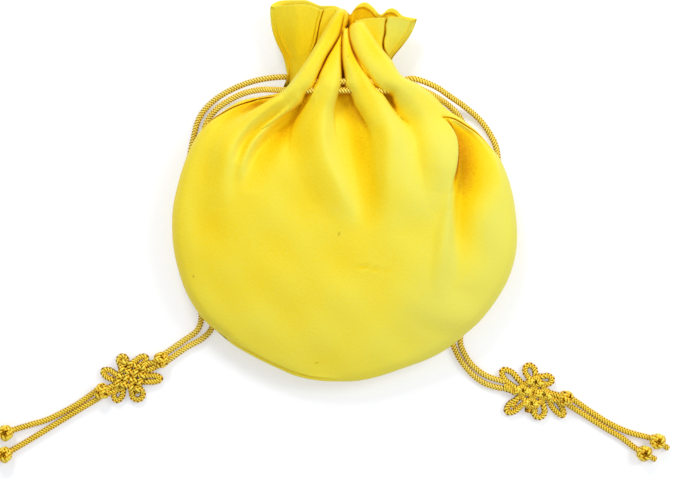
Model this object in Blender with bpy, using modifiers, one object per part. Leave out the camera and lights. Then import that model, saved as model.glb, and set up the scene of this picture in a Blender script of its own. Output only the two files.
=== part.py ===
"""A silk drawstring pouch, drawn shut and lying on its back panel.

Two satin panels are sewn together round the rim. Above the neck they open out as a collar, and
two braided cords run through the pleats of the neck, one leaving at each side. Each cord ends in
a flower knot between two button knots, and in two tails with a stopper knot each.
Metres, +Z up, +X to the pouch's right and +Y towards its mouth. The origin is on the floor under
the middle of the two panels.
"""

import math
from dataclasses import dataclass

import bmesh
import bpy
from mathutils import Matrix, Vector

MM = 0.001

# Driving sizes
BODY_WIDTH = 120 * MM
BODY_LENGTH = 100 * MM
NECK_WIDTH = 44 * MM
NECK_HEIGHT = 5 * MM
NECK_LIFT = 4.5 * MM
THROAT_LENGTH = 10.5 * MM
COLLAR_LENGTH = 26.4 * MM
COLLAR_WIDTH = 50 * MM
MOUTH_SLANT = 3.5 * MM
MOUTH_LIFT = 2.4 * MM
CLOTH_WALL = 1.0 * MM
SEAM_GAP = 0.5 * MM
RIM_HEIGHT = 7 * MM
PUFF_HEIGHT = 20.5 * MM
PLEAT_DEPTH = 6.5 * MM
CORD_DIAMETER = 2.1 * MM
CORD_HOLE_CLEARANCE = 0.35 * MM
CORD_HOLES_REACH = 10 * MM
STRAND_GAP = 0.4 * MM
JOIN_GAP = 0.3 * MM
FLOWER_LENGTH = 22 * MM
FLOWER_WIDTH = 19.5 * MM
FLOWER_THICKNESS = 4.6 * MM
NOTCH_REACH = 0.78
BARE_END_REACH = 0.92
BUTTON_DIAMETER = 5.4 * MM
BUTTON_LENGTH = 4.8 * MM
STOPPER_DIAMETER = 5.6 * MM
STUB_LENGTH = 2.4 * MM

# The neck's place along the pouch, and the ways a panel is divided
NECK_Y = 36 * MM
RIDGES_PER_PANEL = 4
STEPS_PER_RIDGE = 4
PANEL_STEPS = RIDGES_PER_PANEL * STEPS_PER_RIDGE
EDGE_ROUNDNESS = 0.8
PLEAT_EVENNESS = 0.6
CORD_POINT_SPACING = 2.7 * CORD_DIAMETER
ROUTE_SAMPLES = 24

SATIN_YELLOW = (0.93, 0.74, 0.03, 1.0)
CORD_GOLD = (0.83, 0.50, 0.03, 1.0)

# The cords' routes between their knots, in millimetres: points chosen by hand, with a height of
# FLOOR_Z where they lie on the floor
FLOOR_Z = CORD_DIAMETER / 2 / MM + 0.05

LEFT_ROUTE = [
    (-55.4, -54.5, FLOOR_Z), (-49.7, -51.3, FLOOR_Z), (-46.4, -47.4, FLOOR_Z),
    (-47.2, -42.4, FLOOR_Z), (-50.6, -34.5, FLOOR_Z),
    (-53.2, -25.0, FLOOR_Z), (-54.2, -14.0, FLOOR_Z), (-53.4, -3.0, FLOOR_Z),
    (-51.6, 7.0, FLOOR_Z), (-50.2, 15.5, FLOOR_Z), (-49.2, 21.6, FLOOR_Z),
    (-47.2, 26.0, 1.9), (-43.0, 30.1, 3.4), (-36.2, 33.6, 6.2), (-29.6, 35.0, 9.2),
    (-24.0, 34.8, 12.2), (-18.6, 34.2, 16.4), (-12.5, 34.0, 18.4), (-4.0, 34.0, 18.6),
    (5.0, 34.0, 18.6), (12.5, 34.0, 18.0), (17.2, 34.4, 15.6), (18.8, 35.8, 11.4),
    (17.6, 38.2, 8.0), (12.5, 39.5, 4.8), (4.5, 39.6, 3.9), (-4.0, 39.6, 3.9),
    (-11.5, 39.6, 4.1), (-17.0, 39.8, 6.0), (-22.0, 40.0, 8.0), (-27.5, 39.8, 8.0),
    (-33.6, 38.3, 6.2), (-39.6, 35.6, 4.4), (-44.6, 32.6, 2.6), (-48.6, 29.1, 1.5),
    (-51.4, 24.6, FLOOR_Z), (-53.0, 18.4, FLOOR_Z), (-54.4, 11.5, FLOOR_Z),
    (-55.6, 4.0, FLOOR_Z), (-57.0, -6.0, FLOOR_Z), (-57.2, -17.0, FLOOR_Z),
    (-55.8, -28.0, FLOOR_Z), (-53.0, -36.6, FLOOR_Z), (-50.2, -42.6, FLOOR_Z),
    (-51.4, -48.2, FLOOR_Z), (-56.6, -52.3, FLOOR_Z),
]
RIGHT_ROUTE = [
    (50.0, -67.4, FLOOR_Z), (45.6, -64.6, FLOOR_Z), (41.9, -60.6, FLOOR_Z),
    (39.2, -56.2, FLOOR_Z), (37.6, -50.6, FLOOR_Z),
    (40.4, -44.4, FLOOR_Z), (45.4, -37.2, FLOOR_Z), (50.0, -28.4, FLOOR_Z),
    (52.4, -18.0, FLOOR_Z), (52.0, -7.0, FLOOR_Z), (49.0, 3.5, FLOOR_Z),
    (45.4, 12.8, FLOOR_Z), (42.6, 20.4, FLOOR_Z), (40.4, 25.9, 2.4), (36.2, 30.1, 4.6),
    (31.4, 33.0, 7.4), (26.2, 35.2, 10.8), (20.6, 36.7, 15.0), (15.6, 37.1, 17.4),
    (10.0, 37.1, 18.1), (3.0, 37.1, 18.1), (-5.0, 37.1, 18.0), (-11.6, 37.1, 17.2),
    (-15.8, 37.1, 14.6), (-17.2, 37.0, 10.6), (-15.4, 36.6, 6.2), (-10.9, 36.2, 4.2),
    (-3.5, 36.1, 3.9), (4.5, 36.1, 3.9), (11.5, 36.1, 3.9), (16.3, 36.4, 4.0),
    (20.6, 38.6, 6.0), (24.6, 39.2, 8.0), (32.0, 37.0, 7.6), (37.6, 33.6, 5.6),
    (42.6, 29.7, 3.2), (47.6, 24.8, 1.6), (50.6, 20.2, FLOOR_Z), (52.7, 15.6, FLOOR_Z),
    (54.2, 8.0, FLOOR_Z), (55.8, -1.0, FLOOR_Z), (57.0, -12.0, FLOOR_Z),
    (56.2, -23.0, FLOOR_Z), (52.6, -33.0, FLOOR_Z), (46.6, -41.6, FLOOR_Z),
    (41.6, -47.8, FLOOR_Z), (40.6, -52.6, FLOOR_Z), (42.2, -57.0, FLOOR_Z),
    (45.0, -60.9, FLOOR_Z), (49.8, -64.4, FLOOR_Z),
]
LEFT_TAILS = {
    "upper": [(-94.2, -74.2, FLOOR_Z), (-103.5, -78.8, FLOOR_Z), (-109.6, -81.1, FLOOR_Z),
              (-115.2, -83.1, FLOOR_Z)],
    "lower": [(-92.6, -76.6, FLOOR_Z), (-103.5, -83.4, FLOOR_Z), (-110.2, -87.0, FLOOR_Z),
              (-115.8, -90.1, FLOOR_Z)],
}
RIGHT_TAILS = {
    "upper": [(86.4, -76.6, FLOOR_Z), (93.6, -80.6, FLOOR_Z), (99.9, -83.5, FLOOR_Z),
              (106.2, -85.9, FLOOR_Z)],
    "lower": [(84.6, -78.8, FLOOR_Z), (91.0, -83.3, FLOOR_Z), (96.3, -86.5, FLOOR_Z),
              (101.4, -89.6, FLOOR_Z)],
}
# Each flower knot's centre in millimetres, the direction its far end points in degrees, the
# direction its tails leave in, and the ends that a button knot closes: -1 is the end nearer the
# pouch
LEFT_FLOWER = ((-74.4, -64.2), 208.0, 215.5, (-1, 1))
RIGHT_FLOWER = ((65.9, -69.8), -12.0, -35.0, (1,))


@dataclass(frozen=True)
class Row:
    """One cross row of the pouch, named for its place.

    left and right are its seam points as (x, y), middle is its y at the centre, and seam, front
    and back are heights. pleat is the depth of its pleats, and evenness spaces them evenly, at 1,
    or as seen from the side of an ellipse, at 0.
    """

    place: str
    left: tuple
    right: tuple
    middle: float
    seam: float
    front: float
    back: float
    pleat: float = 0.0
    evenness: float = 0.0


def below_neck(share):
    """y at a share of the body's length below the neck."""
    return NECK_Y - share * BODY_LENGTH


def collar_rows():
    """The rows of the collar and the neck, from the mouth down."""
    collar = COLLAR_WIDTH / 2
    neck = NECK_WIDTH / 2
    mouth_y = NECK_Y + COLLAR_LENGTH
    throat_y = NECK_Y + THROAT_LENGTH
    neck_seam = RIM_HEIGHT + NECK_LIFT
    front = neck_seam + NECK_HEIGHT
    back = neck_seam - NECK_HEIGHT
    return [
        Row("mouth", (-collar * 1.04, mouth_y + MOUTH_SLANT), (collar * 0.98, mouth_y - 1.5 * MM),
            mouth_y, RIM_HEIGHT + 1 * MM, front - 1.5 * MM, MOUTH_LIFT, PLEAT_DEPTH * 0.32,
            PLEAT_EVENNESS),
        Row("collar", (-collar, mouth_y - 5 * MM), (collar * 0.92, mouth_y - 6 * MM),
            mouth_y - 6 * MM, RIM_HEIGHT + 1.5 * MM, front - 0.5 * MM, MOUTH_LIFT + 0.8 * MM,
            PLEAT_DEPTH * 0.45, PLEAT_EVENNESS),
        Row("throat", (-neck * 0.97, throat_y), (neck * 0.84, throat_y), throat_y,
            RIM_HEIGHT + 3 * MM, front, back, PLEAT_DEPTH * 0.85, PLEAT_EVENNESS),
        Row("neck", (-neck, NECK_Y + 0.5 * MM), (neck * 1.02, NECK_Y + 0.5 * MM),
            NECK_Y - 0.5 * MM, neck_seam, front, back, PLEAT_DEPTH, PLEAT_EVENNESS),
    ]


def body_rows():
    """The rows of the body, from the shoulder down to the bottom seam."""
    half = BODY_WIDTH / 2
    seam = RIM_HEIGHT
    top = PUFF_HEIGHT
    return [
        Row("shoulder", (-half * 0.55, below_neck(0.05)), (half * 0.575, below_neck(0.055)),
            below_neck(0.075), seam + 3 * MM, top - 3.5 * MM, 4.4 * MM, PLEAT_DEPTH * 0.72, 0.5),
        Row("chest", (-half * 0.775, below_neck(0.105)), (half * 0.76, below_neck(0.14)),
            below_neck(0.145), seam + 1 * MM, top - 1.5 * MM, 1.2 * MM, PLEAT_DEPTH * 0.38, 0.3),
        Row("bust", (-half * 0.91, below_neck(0.22)), (half * 0.895, below_neck(0.24)),
            below_neck(0.235), seam, top, -0.4 * MM, PLEAT_DEPTH * 0.14, 0.15),
        Row("waist", (-half * 0.993, below_neck(0.38)), (half * 0.98, below_neck(0.38)),
            below_neck(0.37), seam, top - 0.5 * MM, -0.6 * MM),
        Row("belly", (-half * 1.012, below_neck(0.55)), (half * 1.0174, below_neck(0.55)),
            below_neck(0.53), seam, top - 2 * MM, -0.6 * MM),
        Row("lap", (-half * 0.945, below_neck(0.71)), (half * 0.935, below_neck(0.71)),
            below_neck(0.71), seam, top - 4.5 * MM, -0.6 * MM),
        Row("hem", (-half * 0.81, below_neck(0.84)), (half * 0.775, below_neck(0.835)),
            below_neck(0.89), seam, top - 7.5 * MM, -0.3 * MM),
        Row("turn", (-half * 0.70, below_neck(0.895)), (half * 0.65, below_neck(0.9)),
            below_neck(1.005), seam, top - 10.5 * MM, 2.2 * MM),
        Row("lip", (-half * 0.675, below_neck(0.9)), (half * 0.63, below_neck(0.905)),
            below_neck(1.022), seam, seam + 1.6 * MM, seam - 1.6 * MM),
        Row("bottom", (-half * 0.675, below_neck(0.9)), (half * 0.63, below_neck(0.905)),
            below_neck(1.022), seam, seam, seam),
    ]


def row_points(row, side):
    """The points of one row across one panel, from the left seam to the right one.

    side is +1 for the front panel and -1 for the back one. A point is at the angle a, which goes
    from 0 to pi: across the row it follows -cos(a), up or down it follows sin(a) to a power, and
    each pleat adds half a wave of its depth.
    """
    left, right = Vector(row.left), Vector(row.right)
    height = (row.front if side > 0 else row.back) - row.seam
    points = []
    for step in range(PANEL_STEPS + 1):
        angle = math.pi * step / PANEL_STEPS
        across = -math.cos(angle)
        across += row.evenness * (2 * angle / math.pi - 1 - across)
        if step in (1, PANEL_STEPS - 1):
            across = math.copysign(1.0, across)
        rise = math.sin(angle) ** EDGE_ROUNDNESS
        wave = (1 - math.cos(2 * RIDGES_PER_PANEL * angle)) / 2
        if step in (0, PANEL_STEPS):
            rise = wave = 0.0
        place = left.lerp(right, (across + 1) / 2)
        y = place.y + (row.middle - place.y) * (1 - across * across)
        z = row.seam + side * (SEAM_GAP / 2 + row.pleat * wave) + height * rise
        if side < 0:
            z = max(z, 0.0)
        points.append(Vector((place.x, y, z)))
    return points


def material(name, colour, roughness, metallic=0.0):
    """A Principled material with one colour."""
    made = bpy.data.materials.new(name)
    made.use_nodes = True
    shader = made.node_tree.nodes["Principled BSDF"]
    shader.inputs["Base Color"].default_value = colour
    shader.inputs["Roughness"].default_value = roughness
    shader.inputs["Metallic"].default_value = metallic
    return made


def add_object(name, data, collection, look=None):
    """Puts a mesh or a curve into the scene as an object."""
    made = bpy.data.objects.new(name, data)
    collection.objects.link(made)
    if look is not None:
        data.materials.append(look)
    return made


def panel(name, side, collection, look):
    """One satin panel: an open cage of rows, made smooth and given its wall.

    side is +1 for the front panel and -1 for the back one.
    """
    rows = [row_points(row, side) for row in collar_rows() + body_rows()]
    width = PANEL_STEPS + 1
    points = [point for row in rows for point in row]
    faces = []
    for j in range(len(rows) - 1):
        for i in range(PANEL_STEPS):
            corner = j * width + i
            face = (corner, corner + width, corner + width + 1, corner + 1)
            faces.append(face if side > 0 else face[::-1])
    mesh = bpy.data.meshes.new(name)
    mesh.from_pydata(points, [], faces)
    mesh.shade_smooth()
    made = add_object(name, mesh, collection, look)
    smooth = made.modifiers.new("soft form", "SUBSURF")
    smooth.levels = smooth.render_levels = 1
    smooth.boundary_smooth = "PRESERVE_CORNERS"
    wall = made.modifiers.new("cloth wall", "SOLIDIFY")
    wall.thickness = CLOTH_WALL
    wall.offset = -1.0
    return made


def smooth_route(points, spacing):
    """Points a set distance apart on a smooth curve through the given ones."""
    chain = [points[0]] + list(points) + [points[-1]]
    fine = []
    for a, b, c, d in zip(chain, chain[1:], chain[2:], chain[3:]):
        for step in range(ROUTE_SAMPLES):
            t = step / ROUTE_SAMPLES
            fine.append(0.5 * (2 * b + (c - a) * t + (2 * a - 5 * b + 4 * c - d) * t * t
                               + (3 * b - 3 * c + d - a) * t ** 3))
    fine.append(points[-1])
    lengths = [0.0]
    for a, b in zip(fine, fine[1:]):
        lengths.append(lengths[-1] + (b - a).length)
    count = max(2, round(lengths[-1] / spacing))
    spaced, at = [], 0
    for k in range(count + 1):
        goal = lengths[-1] * k / count
        while at < len(lengths) - 2 and lengths[at + 1] < goal:
            at += 1
        share = (goal - lengths[at]) / max(lengths[at + 1] - lengths[at], 1e-12)
        spaced.append(fine[at].lerp(fine[at + 1], min(share, 1.0)))
    return spaced


def tube_curve(name, points, radius):
    """A curve along the points with a round bevel and filled caps."""
    curve = bpy.data.curves.new(name, "CURVE")
    curve.dimensions = "3D"
    curve.bevel_depth = radius
    curve.bevel_resolution = 2
    curve.use_fill_caps = True
    spline = curve.splines.new("POLY")
    spline.points.add(len(points) - 1)
    for slot, point in zip(spline.points, points):
        slot.co = (*point, 1.0)
    return curve


def welded_mesh(source):
    """A mesh of what a curve object shows, with its caps joined to its sides."""
    bpy.context.view_layer.update()
    graph = bpy.context.evaluated_depsgraph_get()
    mesh = bpy.data.meshes.new_from_object(source.evaluated_get(graph))
    work = bmesh.new()
    work.from_mesh(mesh)
    bmesh.ops.remove_doubles(work, verts=work.verts, dist=0.01 * MM)
    bmesh.ops.recalc_face_normals(work, faces=work.faces)
    work.to_mesh(mesh)
    work.free()
    return mesh


def metres(points):
    """A hand-chosen list in millimetres as vectors in metres."""
    return [Vector(point) * MM for point in points]


def cord_points(route):
    """A cord's centreline, which never dips closer to the floor than the cord's own half."""
    points = smooth_route(route, CORD_POINT_SPACING)
    for point in points:
        point.z = max(point.z, FLOOR_Z * MM)
    return points


def cord(name, route, collection, look):
    """A plain round tube along a cord's route."""
    points = cord_points(route)
    return add_object(name, tube_curve(name, points, CORD_DIAMETER / 2), collection, look)


def cord_cutters(name, route, collection):
    """Wider mesh tubes along a drawcord, which make room for it in the cloth.

    The two strands that run side by side and the stretch through the neck are a tube each, so
    no tube meets itself.
    """
    points = cord_points(route)
    in_neck = [k for k, point in enumerate(points) if point.y > NECK_Y - CORD_HOLES_REACH]
    first, last = in_neck[0], in_neck[-1]
    stretches = (points[:first + 2], points[first:last + 1], points[last - 1:])
    radius = CORD_DIAMETER / 2 + CORD_HOLE_CLEARANCE
    cutters = []
    for number, stretch in enumerate(stretches):
        shown = add_object("line", tube_curve("line", stretch, radius), collection)
        made = add_object(f"{name}_{number}", welded_mesh(shown), collection)
        bpy.data.objects.remove(shown)
        made.hide_render = True
        made.display_type = "WIRE"
        cutters.append(made)
    return cutters


def cut(made, cutter):
    """Takes a cutter's volume out of an object."""
    hole = made.modifiers.new("hole for " + cutter.name, "BOOLEAN")
    hole.operation = "DIFFERENCE"
    hole.object = cutter


def ball(name, centre, diameter, length, heading, collection, look):
    """A round knot: a sphere drawn out along its cord and flattened where it lies."""
    mesh = bpy.data.meshes.new(name)
    work = bmesh.new()
    bmesh.ops.create_uvsphere(work, u_segments=16, v_segments=10, radius=0.5)
    turn = Matrix.Rotation(math.radians(heading), 4, "Z")
    size = Matrix.Diagonal((length, diameter, diameter, 1.0))
    bmesh.ops.transform(work, matrix=turn @ size, verts=work.verts)
    work.to_mesh(mesh)
    work.free()
    mesh.shade_smooth()
    made = add_object(name, mesh, collection, look)
    made.location = centre
    return made


def flower_knot(name, centre, heading, collection, look):
    """The outer shape of a flower knot: a petalled outline with rounded edges."""
    petals = 6
    points_per_petal = 12
    curve = bpy.data.curves.new(name, "CURVE")
    curve.dimensions = "2D"
    curve.fill_mode = "BOTH"
    round_over = 1.2 * MM
    curve.extrude = FLOWER_THICKNESS / 2 - round_over
    curve.bevel_depth = round_over
    curve.bevel_resolution = 2
    spline = curve.splines.new("POLY")
    count = petals * points_per_petal
    spline.points.add(count - 1)
    for k in range(count):
        angle = 2 * math.pi * k / count
        reach = (1 + NOTCH_REACH) / 2 - (1 - NOTCH_REACH) / 2 * math.cos(petals * angle)
        x = (FLOWER_LENGTH / 2 * reach - round_over) * math.cos(angle)
        y = (FLOWER_WIDTH / 2 * reach - round_over) * math.sin(angle)
        spline.points[k].co = (x, y, 0.0, 1.0)
    spline.use_cyclic_u = True
    made = add_object(name, curve, collection, look)
    made.location = centre
    made.rotation_euler = (0.0, 0.0, math.radians(heading))
    return made


def stopper_knot(name, tail, collection, look):
    """A stopper knot past a tail's end, with the cut stub of cord that stands out of it."""
    last, before = tail[-1], tail[-2]
    heading = (last - before).normalized()
    centre = last + heading * (STOPPER_DIAMETER / 2 + JOIN_GAP)
    centre.z = STOPPER_DIAMETER / 2
    degrees = math.degrees(math.atan2(heading.y, heading.x))
    knot = ball(name, centre, STOPPER_DIAMETER, STOPPER_DIAMETER, degrees, collection, look)
    stub = bpy.data.meshes.new(name + "_stub")
    work = bmesh.new()
    bmesh.ops.create_cone(work, cap_ends=True, segments=10, radius1=CORD_DIAMETER / 2,
                          radius2=CORD_DIAMETER / 2, depth=STOPPER_DIAMETER / 2 + STUB_LENGTH)
    work.to_mesh(stub)
    work.free()
    helper = add_object(name + "_stub", stub, bpy.data.collections["helpers"])
    helper.rotation_euler = heading.to_track_quat("Z", "Y").to_euler()
    helper.location = centre + heading * (STOPPER_DIAMETER / 2 + STUB_LENGTH) / 2
    helper.hide_render = True
    helper.display_type = "WIRE"
    join = knot.modifiers.new("stub", "BOOLEAN")
    join.operation = "UNION"
    join.object = helper


def flat_direction(degrees):
    """A unit vector along the floor."""
    return Vector((math.cos(math.radians(degrees)), math.sin(math.radians(degrees)), 0.0))


def strand_pair(centre, degrees, distance):
    """Where two strands side by side start, at a distance from a knot's centre.

    The first is on the left of the direction they leave in.
    """
    along = flat_direction(degrees)
    aside = Vector((-along.y, along.x, 0.0)) * (CORD_DIAMETER + STRAND_GAP) / 2
    middle = centre + along * distance
    middle.z = FLOOR_Z * MM
    return middle + aside, middle - aside


def knot_set(side, flower, collection, look):
    """The flower knot of one side with the button knots that close its ends.

    Returns where the pouch's two strands end and where the two tails start.
    """
    (x, y), heading, tails_heading, closed_ends = flower
    along = flat_direction(heading)
    centre = Vector((x * MM, y * MM, FLOWER_THICKNESS / 2))
    flower_knot(f"{side}_flower_knot", centre, heading, collection, look)
    reach = FLOWER_LENGTH / 2 * NOTCH_REACH + BUTTON_LENGTH / 2 + 2.5 * JOIN_GAP
    button_exit = BUTTON_LENGTH / 2 + JOIN_GAP / 3
    buttons = {}
    for sign in closed_ends:
        buttons[sign] = centre + along * sign * reach
        buttons[sign].z = BUTTON_DIAMETER / 2
        place = "upper" if sign < 0 else "lower"
        ball(f"{side}_{place}_button_knot", buttons[sign], BUTTON_DIAMETER, BUTTON_LENGTH,
             heading, collection, look)
    if -1 in buttons:
        pouch_ends = strand_pair(buttons[-1], heading + 180, button_exit)
    else:
        pouch_ends = strand_pair(centre, heading + 180, FLOWER_LENGTH / 2 * BARE_END_REACH)
    return pouch_ends, strand_pair(buttons[1], tails_heading, button_exit)


def main():
    """Builds the pouch, its cords and its knots."""
    for old in list(bpy.data.objects):
        bpy.data.objects.remove(old)
    parts = bpy.data.collections.new("drawstring pouch")
    helpers = bpy.data.collections.new("helpers")
    bpy.context.scene.collection.children.link(parts)
    bpy.context.scene.collection.children.link(helpers)
    satin = material("yellow satin", SATIN_YELLOW, 0.45)
    braid = material("braided gold cord", CORD_GOLD, 0.5)

    panels = [panel("front_panel", 1, parts, satin), panel("back_panel", -1, parts, satin)]
    sides = (("left", LEFT_FLOWER, LEFT_ROUTE, LEFT_TAILS),
             ("right", RIGHT_FLOWER, RIGHT_ROUTE, RIGHT_TAILS))
    for side, flower, middle, tails in sides:
        pouch_ends, tail_starts = knot_set(side, flower, parts, braid)
        first, last = pouch_ends if side == "right" else pouch_ends[::-1]
        route = [first] + metres(middle) + [last]
        cord(f"{side}_drawcord", route, parts, braid)
        for cutter in cord_cutters(f"{side}_cord_hole", route, helpers):
            for made in panels:
                cut(made, cutter)
        upper, lower = tail_starts if side == "right" else tail_starts[::-1]
        for place, start in (("upper", upper), ("lower", lower)):
            tail = [start] + metres(tails[place])
            cord(f"{side}_{place}_tail", tail, parts, braid)
            stopper_knot(f"{side}_{place}_stopper_knot", tail, parts, braid)


main()
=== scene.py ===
"""The looks of a yellow silk drawstring pouch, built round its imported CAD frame.

The pouch lies on its back. Each panel is a satin surface with its folds worked out in numpy, the
cords are real braids swept along the routes of the CAD part, and each knot is tied from one.
Metres, +Z up, +X to the pouch's right and +Y towards its mouth.
"""

import logging
import math
from dataclasses import dataclass, field
from enum import Enum

import bpy
import numpy as np
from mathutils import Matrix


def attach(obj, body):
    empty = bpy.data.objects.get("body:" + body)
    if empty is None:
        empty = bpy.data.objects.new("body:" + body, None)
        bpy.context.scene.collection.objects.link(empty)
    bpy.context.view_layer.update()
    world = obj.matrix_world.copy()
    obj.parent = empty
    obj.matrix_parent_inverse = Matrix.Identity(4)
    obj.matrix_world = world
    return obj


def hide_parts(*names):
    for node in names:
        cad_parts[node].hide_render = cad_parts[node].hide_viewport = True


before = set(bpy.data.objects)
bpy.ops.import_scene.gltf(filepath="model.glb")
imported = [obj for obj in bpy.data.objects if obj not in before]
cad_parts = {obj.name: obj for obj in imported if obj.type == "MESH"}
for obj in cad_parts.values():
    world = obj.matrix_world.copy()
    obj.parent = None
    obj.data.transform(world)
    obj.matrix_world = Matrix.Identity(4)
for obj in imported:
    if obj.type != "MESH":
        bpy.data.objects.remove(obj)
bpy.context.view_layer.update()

log = logging.getLogger("pouch")

Array = np.ndarray
MM = 0.001
# One pixel of the photograph at the height of the pouch's rim, and the pixel over the origin
PIXEL = 0.3468 * MM
ORIGIN_PIXEL = (344.5, 191.5)
IMAGE_WIDTH = 679
IMAGE_HEIGHT = 479
# In millimetres, how high the middle of a cord that lies flat is
FLOOR = 1.16
# How finely a curve is read between two of its points before its length is measured
CURVE_READS = 24
# How many stretches of a line are tried at once in the search for the nearest
STRETCHES = 16
# How many points a line of marks has to each mark
MARK_STEPS = 8
# How many of its widths away from its line a groove still shows
GROOVE_REACH = 9
# Blender's wave texture repeats every WAVE_PERIOD / Scale
WAVE_PERIOD = 0.314


class Side(Enum):
    """The two sides of the pouch."""

    LEFT = "left"
    RIGHT = "right"


class Tail(Enum):
    """The two tails of a drawcord."""

    UPPER = "upper"
    LOWER = "lower"


def plan(marks: Array) -> Array:
    """Places given in the photograph's pixels, as metres on the floor: the distance from the
    origin's pixel times a pixel's size.

    Args:
        marks: rows that start with a pixel's column and line.

    Returns:
        The rows, with x and y in metres in place of the pixel.
    """
    placed = np.array(marks, float)
    placed[:, 0] = (placed[:, 0] - ORIGIN_PIXEL[0]) * PIXEL
    placed[:, 1] = (ORIGIN_PIXEL[1] - placed[:, 1]) * PIXEL
    return placed


def spline(points: Array, at: Array) -> Array:
    """A Catmull-Rom curve: each stretch is a cubic whose slope at a point is half the step
    between the points on either side of it.

    Args:
        points: the points that it goes through, as rows.
        at: where to read it, as fractional row numbers.

    Returns:
        One row per place in at.
    """
    points = np.asarray(points, float)
    ends = np.vstack([2 * points[0] - points[1], points, 2 * points[-1] - points[-2]])
    at = np.clip(at, 0, len(points) - 1)
    i = np.minimum(at.astype(int), len(points) - 2)
    t = (at - i)[:, None]
    a, b, c, d = ends[i], ends[i + 1], ends[i + 2], ends[i + 3]
    return 0.5 * (2 * b + (c - a) * t + (2 * a - 5 * b + 4 * c - d) * t**2
                  + (3 * b - 3 * c + d - a) * t**3)


def even_path(points: Array, spacing: float) -> Array:
    """A smooth curve through points, read at even steps of its own length.

    Args:
        points: rows of x, y and z.
        spacing: the step in metres.

    Returns:
        The path's points.
    """
    last = len(points) - 1
    fine = spline(points, np.linspace(0, last, last * CURVE_READS + 1))
    along = np.concatenate([[0], np.cumsum(np.linalg.norm(np.diff(fine, axis=0), axis=1))])
    count = max(4, round(along[-1] / spacing)) + 1
    goals = np.linspace(0, along[-1], count)
    return np.stack([np.interp(goals, along, fine[:, k]) for k in range(fine.shape[1])], axis=1)


def smooth(t: Array) -> Array:
    """0 below 0, 1 above 1, and a cubic with level ends between."""
    t = np.clip(t, 0, 1)
    return t * t * (3 - 2 * t)


def quarter(t: Array) -> Array:
    """A quarter of a circle's rise, from 0 at 0 to 1 at 1 and beyond."""
    return np.sqrt(np.clip(1 - (1 - np.clip(t, 0, 1)) ** 2, 0, 1))


def near(xy: Array, line: Array) -> tuple[Array, Array, Array]:
    """The nearest place on a line of points to each of many points.

    Args:
        xy: points, as rows of x and y.
        line: the line's points in order.

    Returns:
        The place along the line as a fractional row number, the distance from it, which is
        positive on the left as one walks along the line, and the unit direction to that left.
    """
    a = line[:-1]
    ab = line[1:] - a
    length2 = np.maximum((ab**2).sum(1), 1e-18)
    best = np.full(len(xy), np.inf)
    place, signed, aside = np.zeros(len(xy)), np.zeros(len(xy)), np.zeros((len(xy), 2))
    for first in range(0, len(a), STRETCHES):
        part = slice(first, first + STRETCHES)
        rel = xy[:, None, :] - a[None, part]
        t = np.clip((rel * ab[None, part]).sum(-1) / length2[part], 0, 1)
        off = rel - t[..., None] * ab[None, part]
        d2 = (off**2).sum(-1)
        k = d2.argmin(1)
        row = np.arange(len(xy))
        closer = d2[row, k] < best
        step = ab[first + k]
        cross = step[:, 0] * off[row, k, 1] - step[:, 1] * off[row, k, 0]
        best = np.where(closer, d2[row, k], best)
        place = np.where(closer, first + k + t[row, k], place)
        signed = np.where(closer, np.where(cross < 0, -1, 1) * np.sqrt(d2[row, k]), signed)
        left = np.stack([-step[:, 1], step[:, 0]], 1) / np.sqrt(length2[first + k])[:, None]
        aside = np.where(closer[:, None], left, aside)
    return place, signed, aside


def mark_line(marks: Array) -> Array:
    """The smooth line through marks given in pixels, in metres, with MARK_STEPS to a mark."""
    count = (len(marks) - 1) * MARK_STEPS + 1
    return spline(plan(marks[:, :2]), np.linspace(0, len(marks) - 1, count))


def along_marks(marks: Array, place: Array, column: int) -> Array:
    """One column of the marks, read smoothly at places along their line."""
    return spline(marks[:, column:column + 1], place / MARK_STEPS)[:, 0]


def close_to(xy: Array, line: Array, reach: float) -> Array:
    """Which points are within reach of the box round a line."""
    return np.all((xy > line.min(0) - reach) & (xy < line.max(0) + reach), axis=1)


def patch(left: Array, right: Array, bottom: Array, top: Array, rows: Array, columns: Array,
          bottom_reach: float, top_reach: float) -> Array:
    """A grid between four edge curves: straight rows from the left edge to the right one, bent
    by the bottom edge's bow near it and by the top edge's near that.

    Args:
        left, right: edge curves from the bottom up, as x and y.
        bottom, top: edge curves from the left to the right.
        rows, columns: the grid's places up and across, from 0 to 1.
        bottom_reach, top_reach: powers that say how fast each bow dies away.

    Returns:
        An array of rows by columns by x and y.
    """
    lefts = spline(left, rows * (len(left) - 1))[:, None]
    rights = spline(right, rows * (len(right) - 1))[:, None]
    u, v = columns[None, :, None], rows[:, None, None]
    straight = lefts + (rights - lefts) * u
    low, high = [spline(edge, columns * (len(edge) - 1)) - (edge[0] + (edge[-1] - edge[0]) * u[0])
                 for edge in (bottom, top)]
    return straight + (1 - v) ** bottom_reach * low[None] + v**top_reach * high[None]


def crowded(count: int, crowd: float) -> Array:
    """Places from 0 to 1 that stand closer near both ends: even ones mixed with a cosine's."""
    t = np.linspace(0, 1, count)
    return (1 - crowd) * t + crowd * (1 - np.cos(np.pi * t)) / 2


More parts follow.
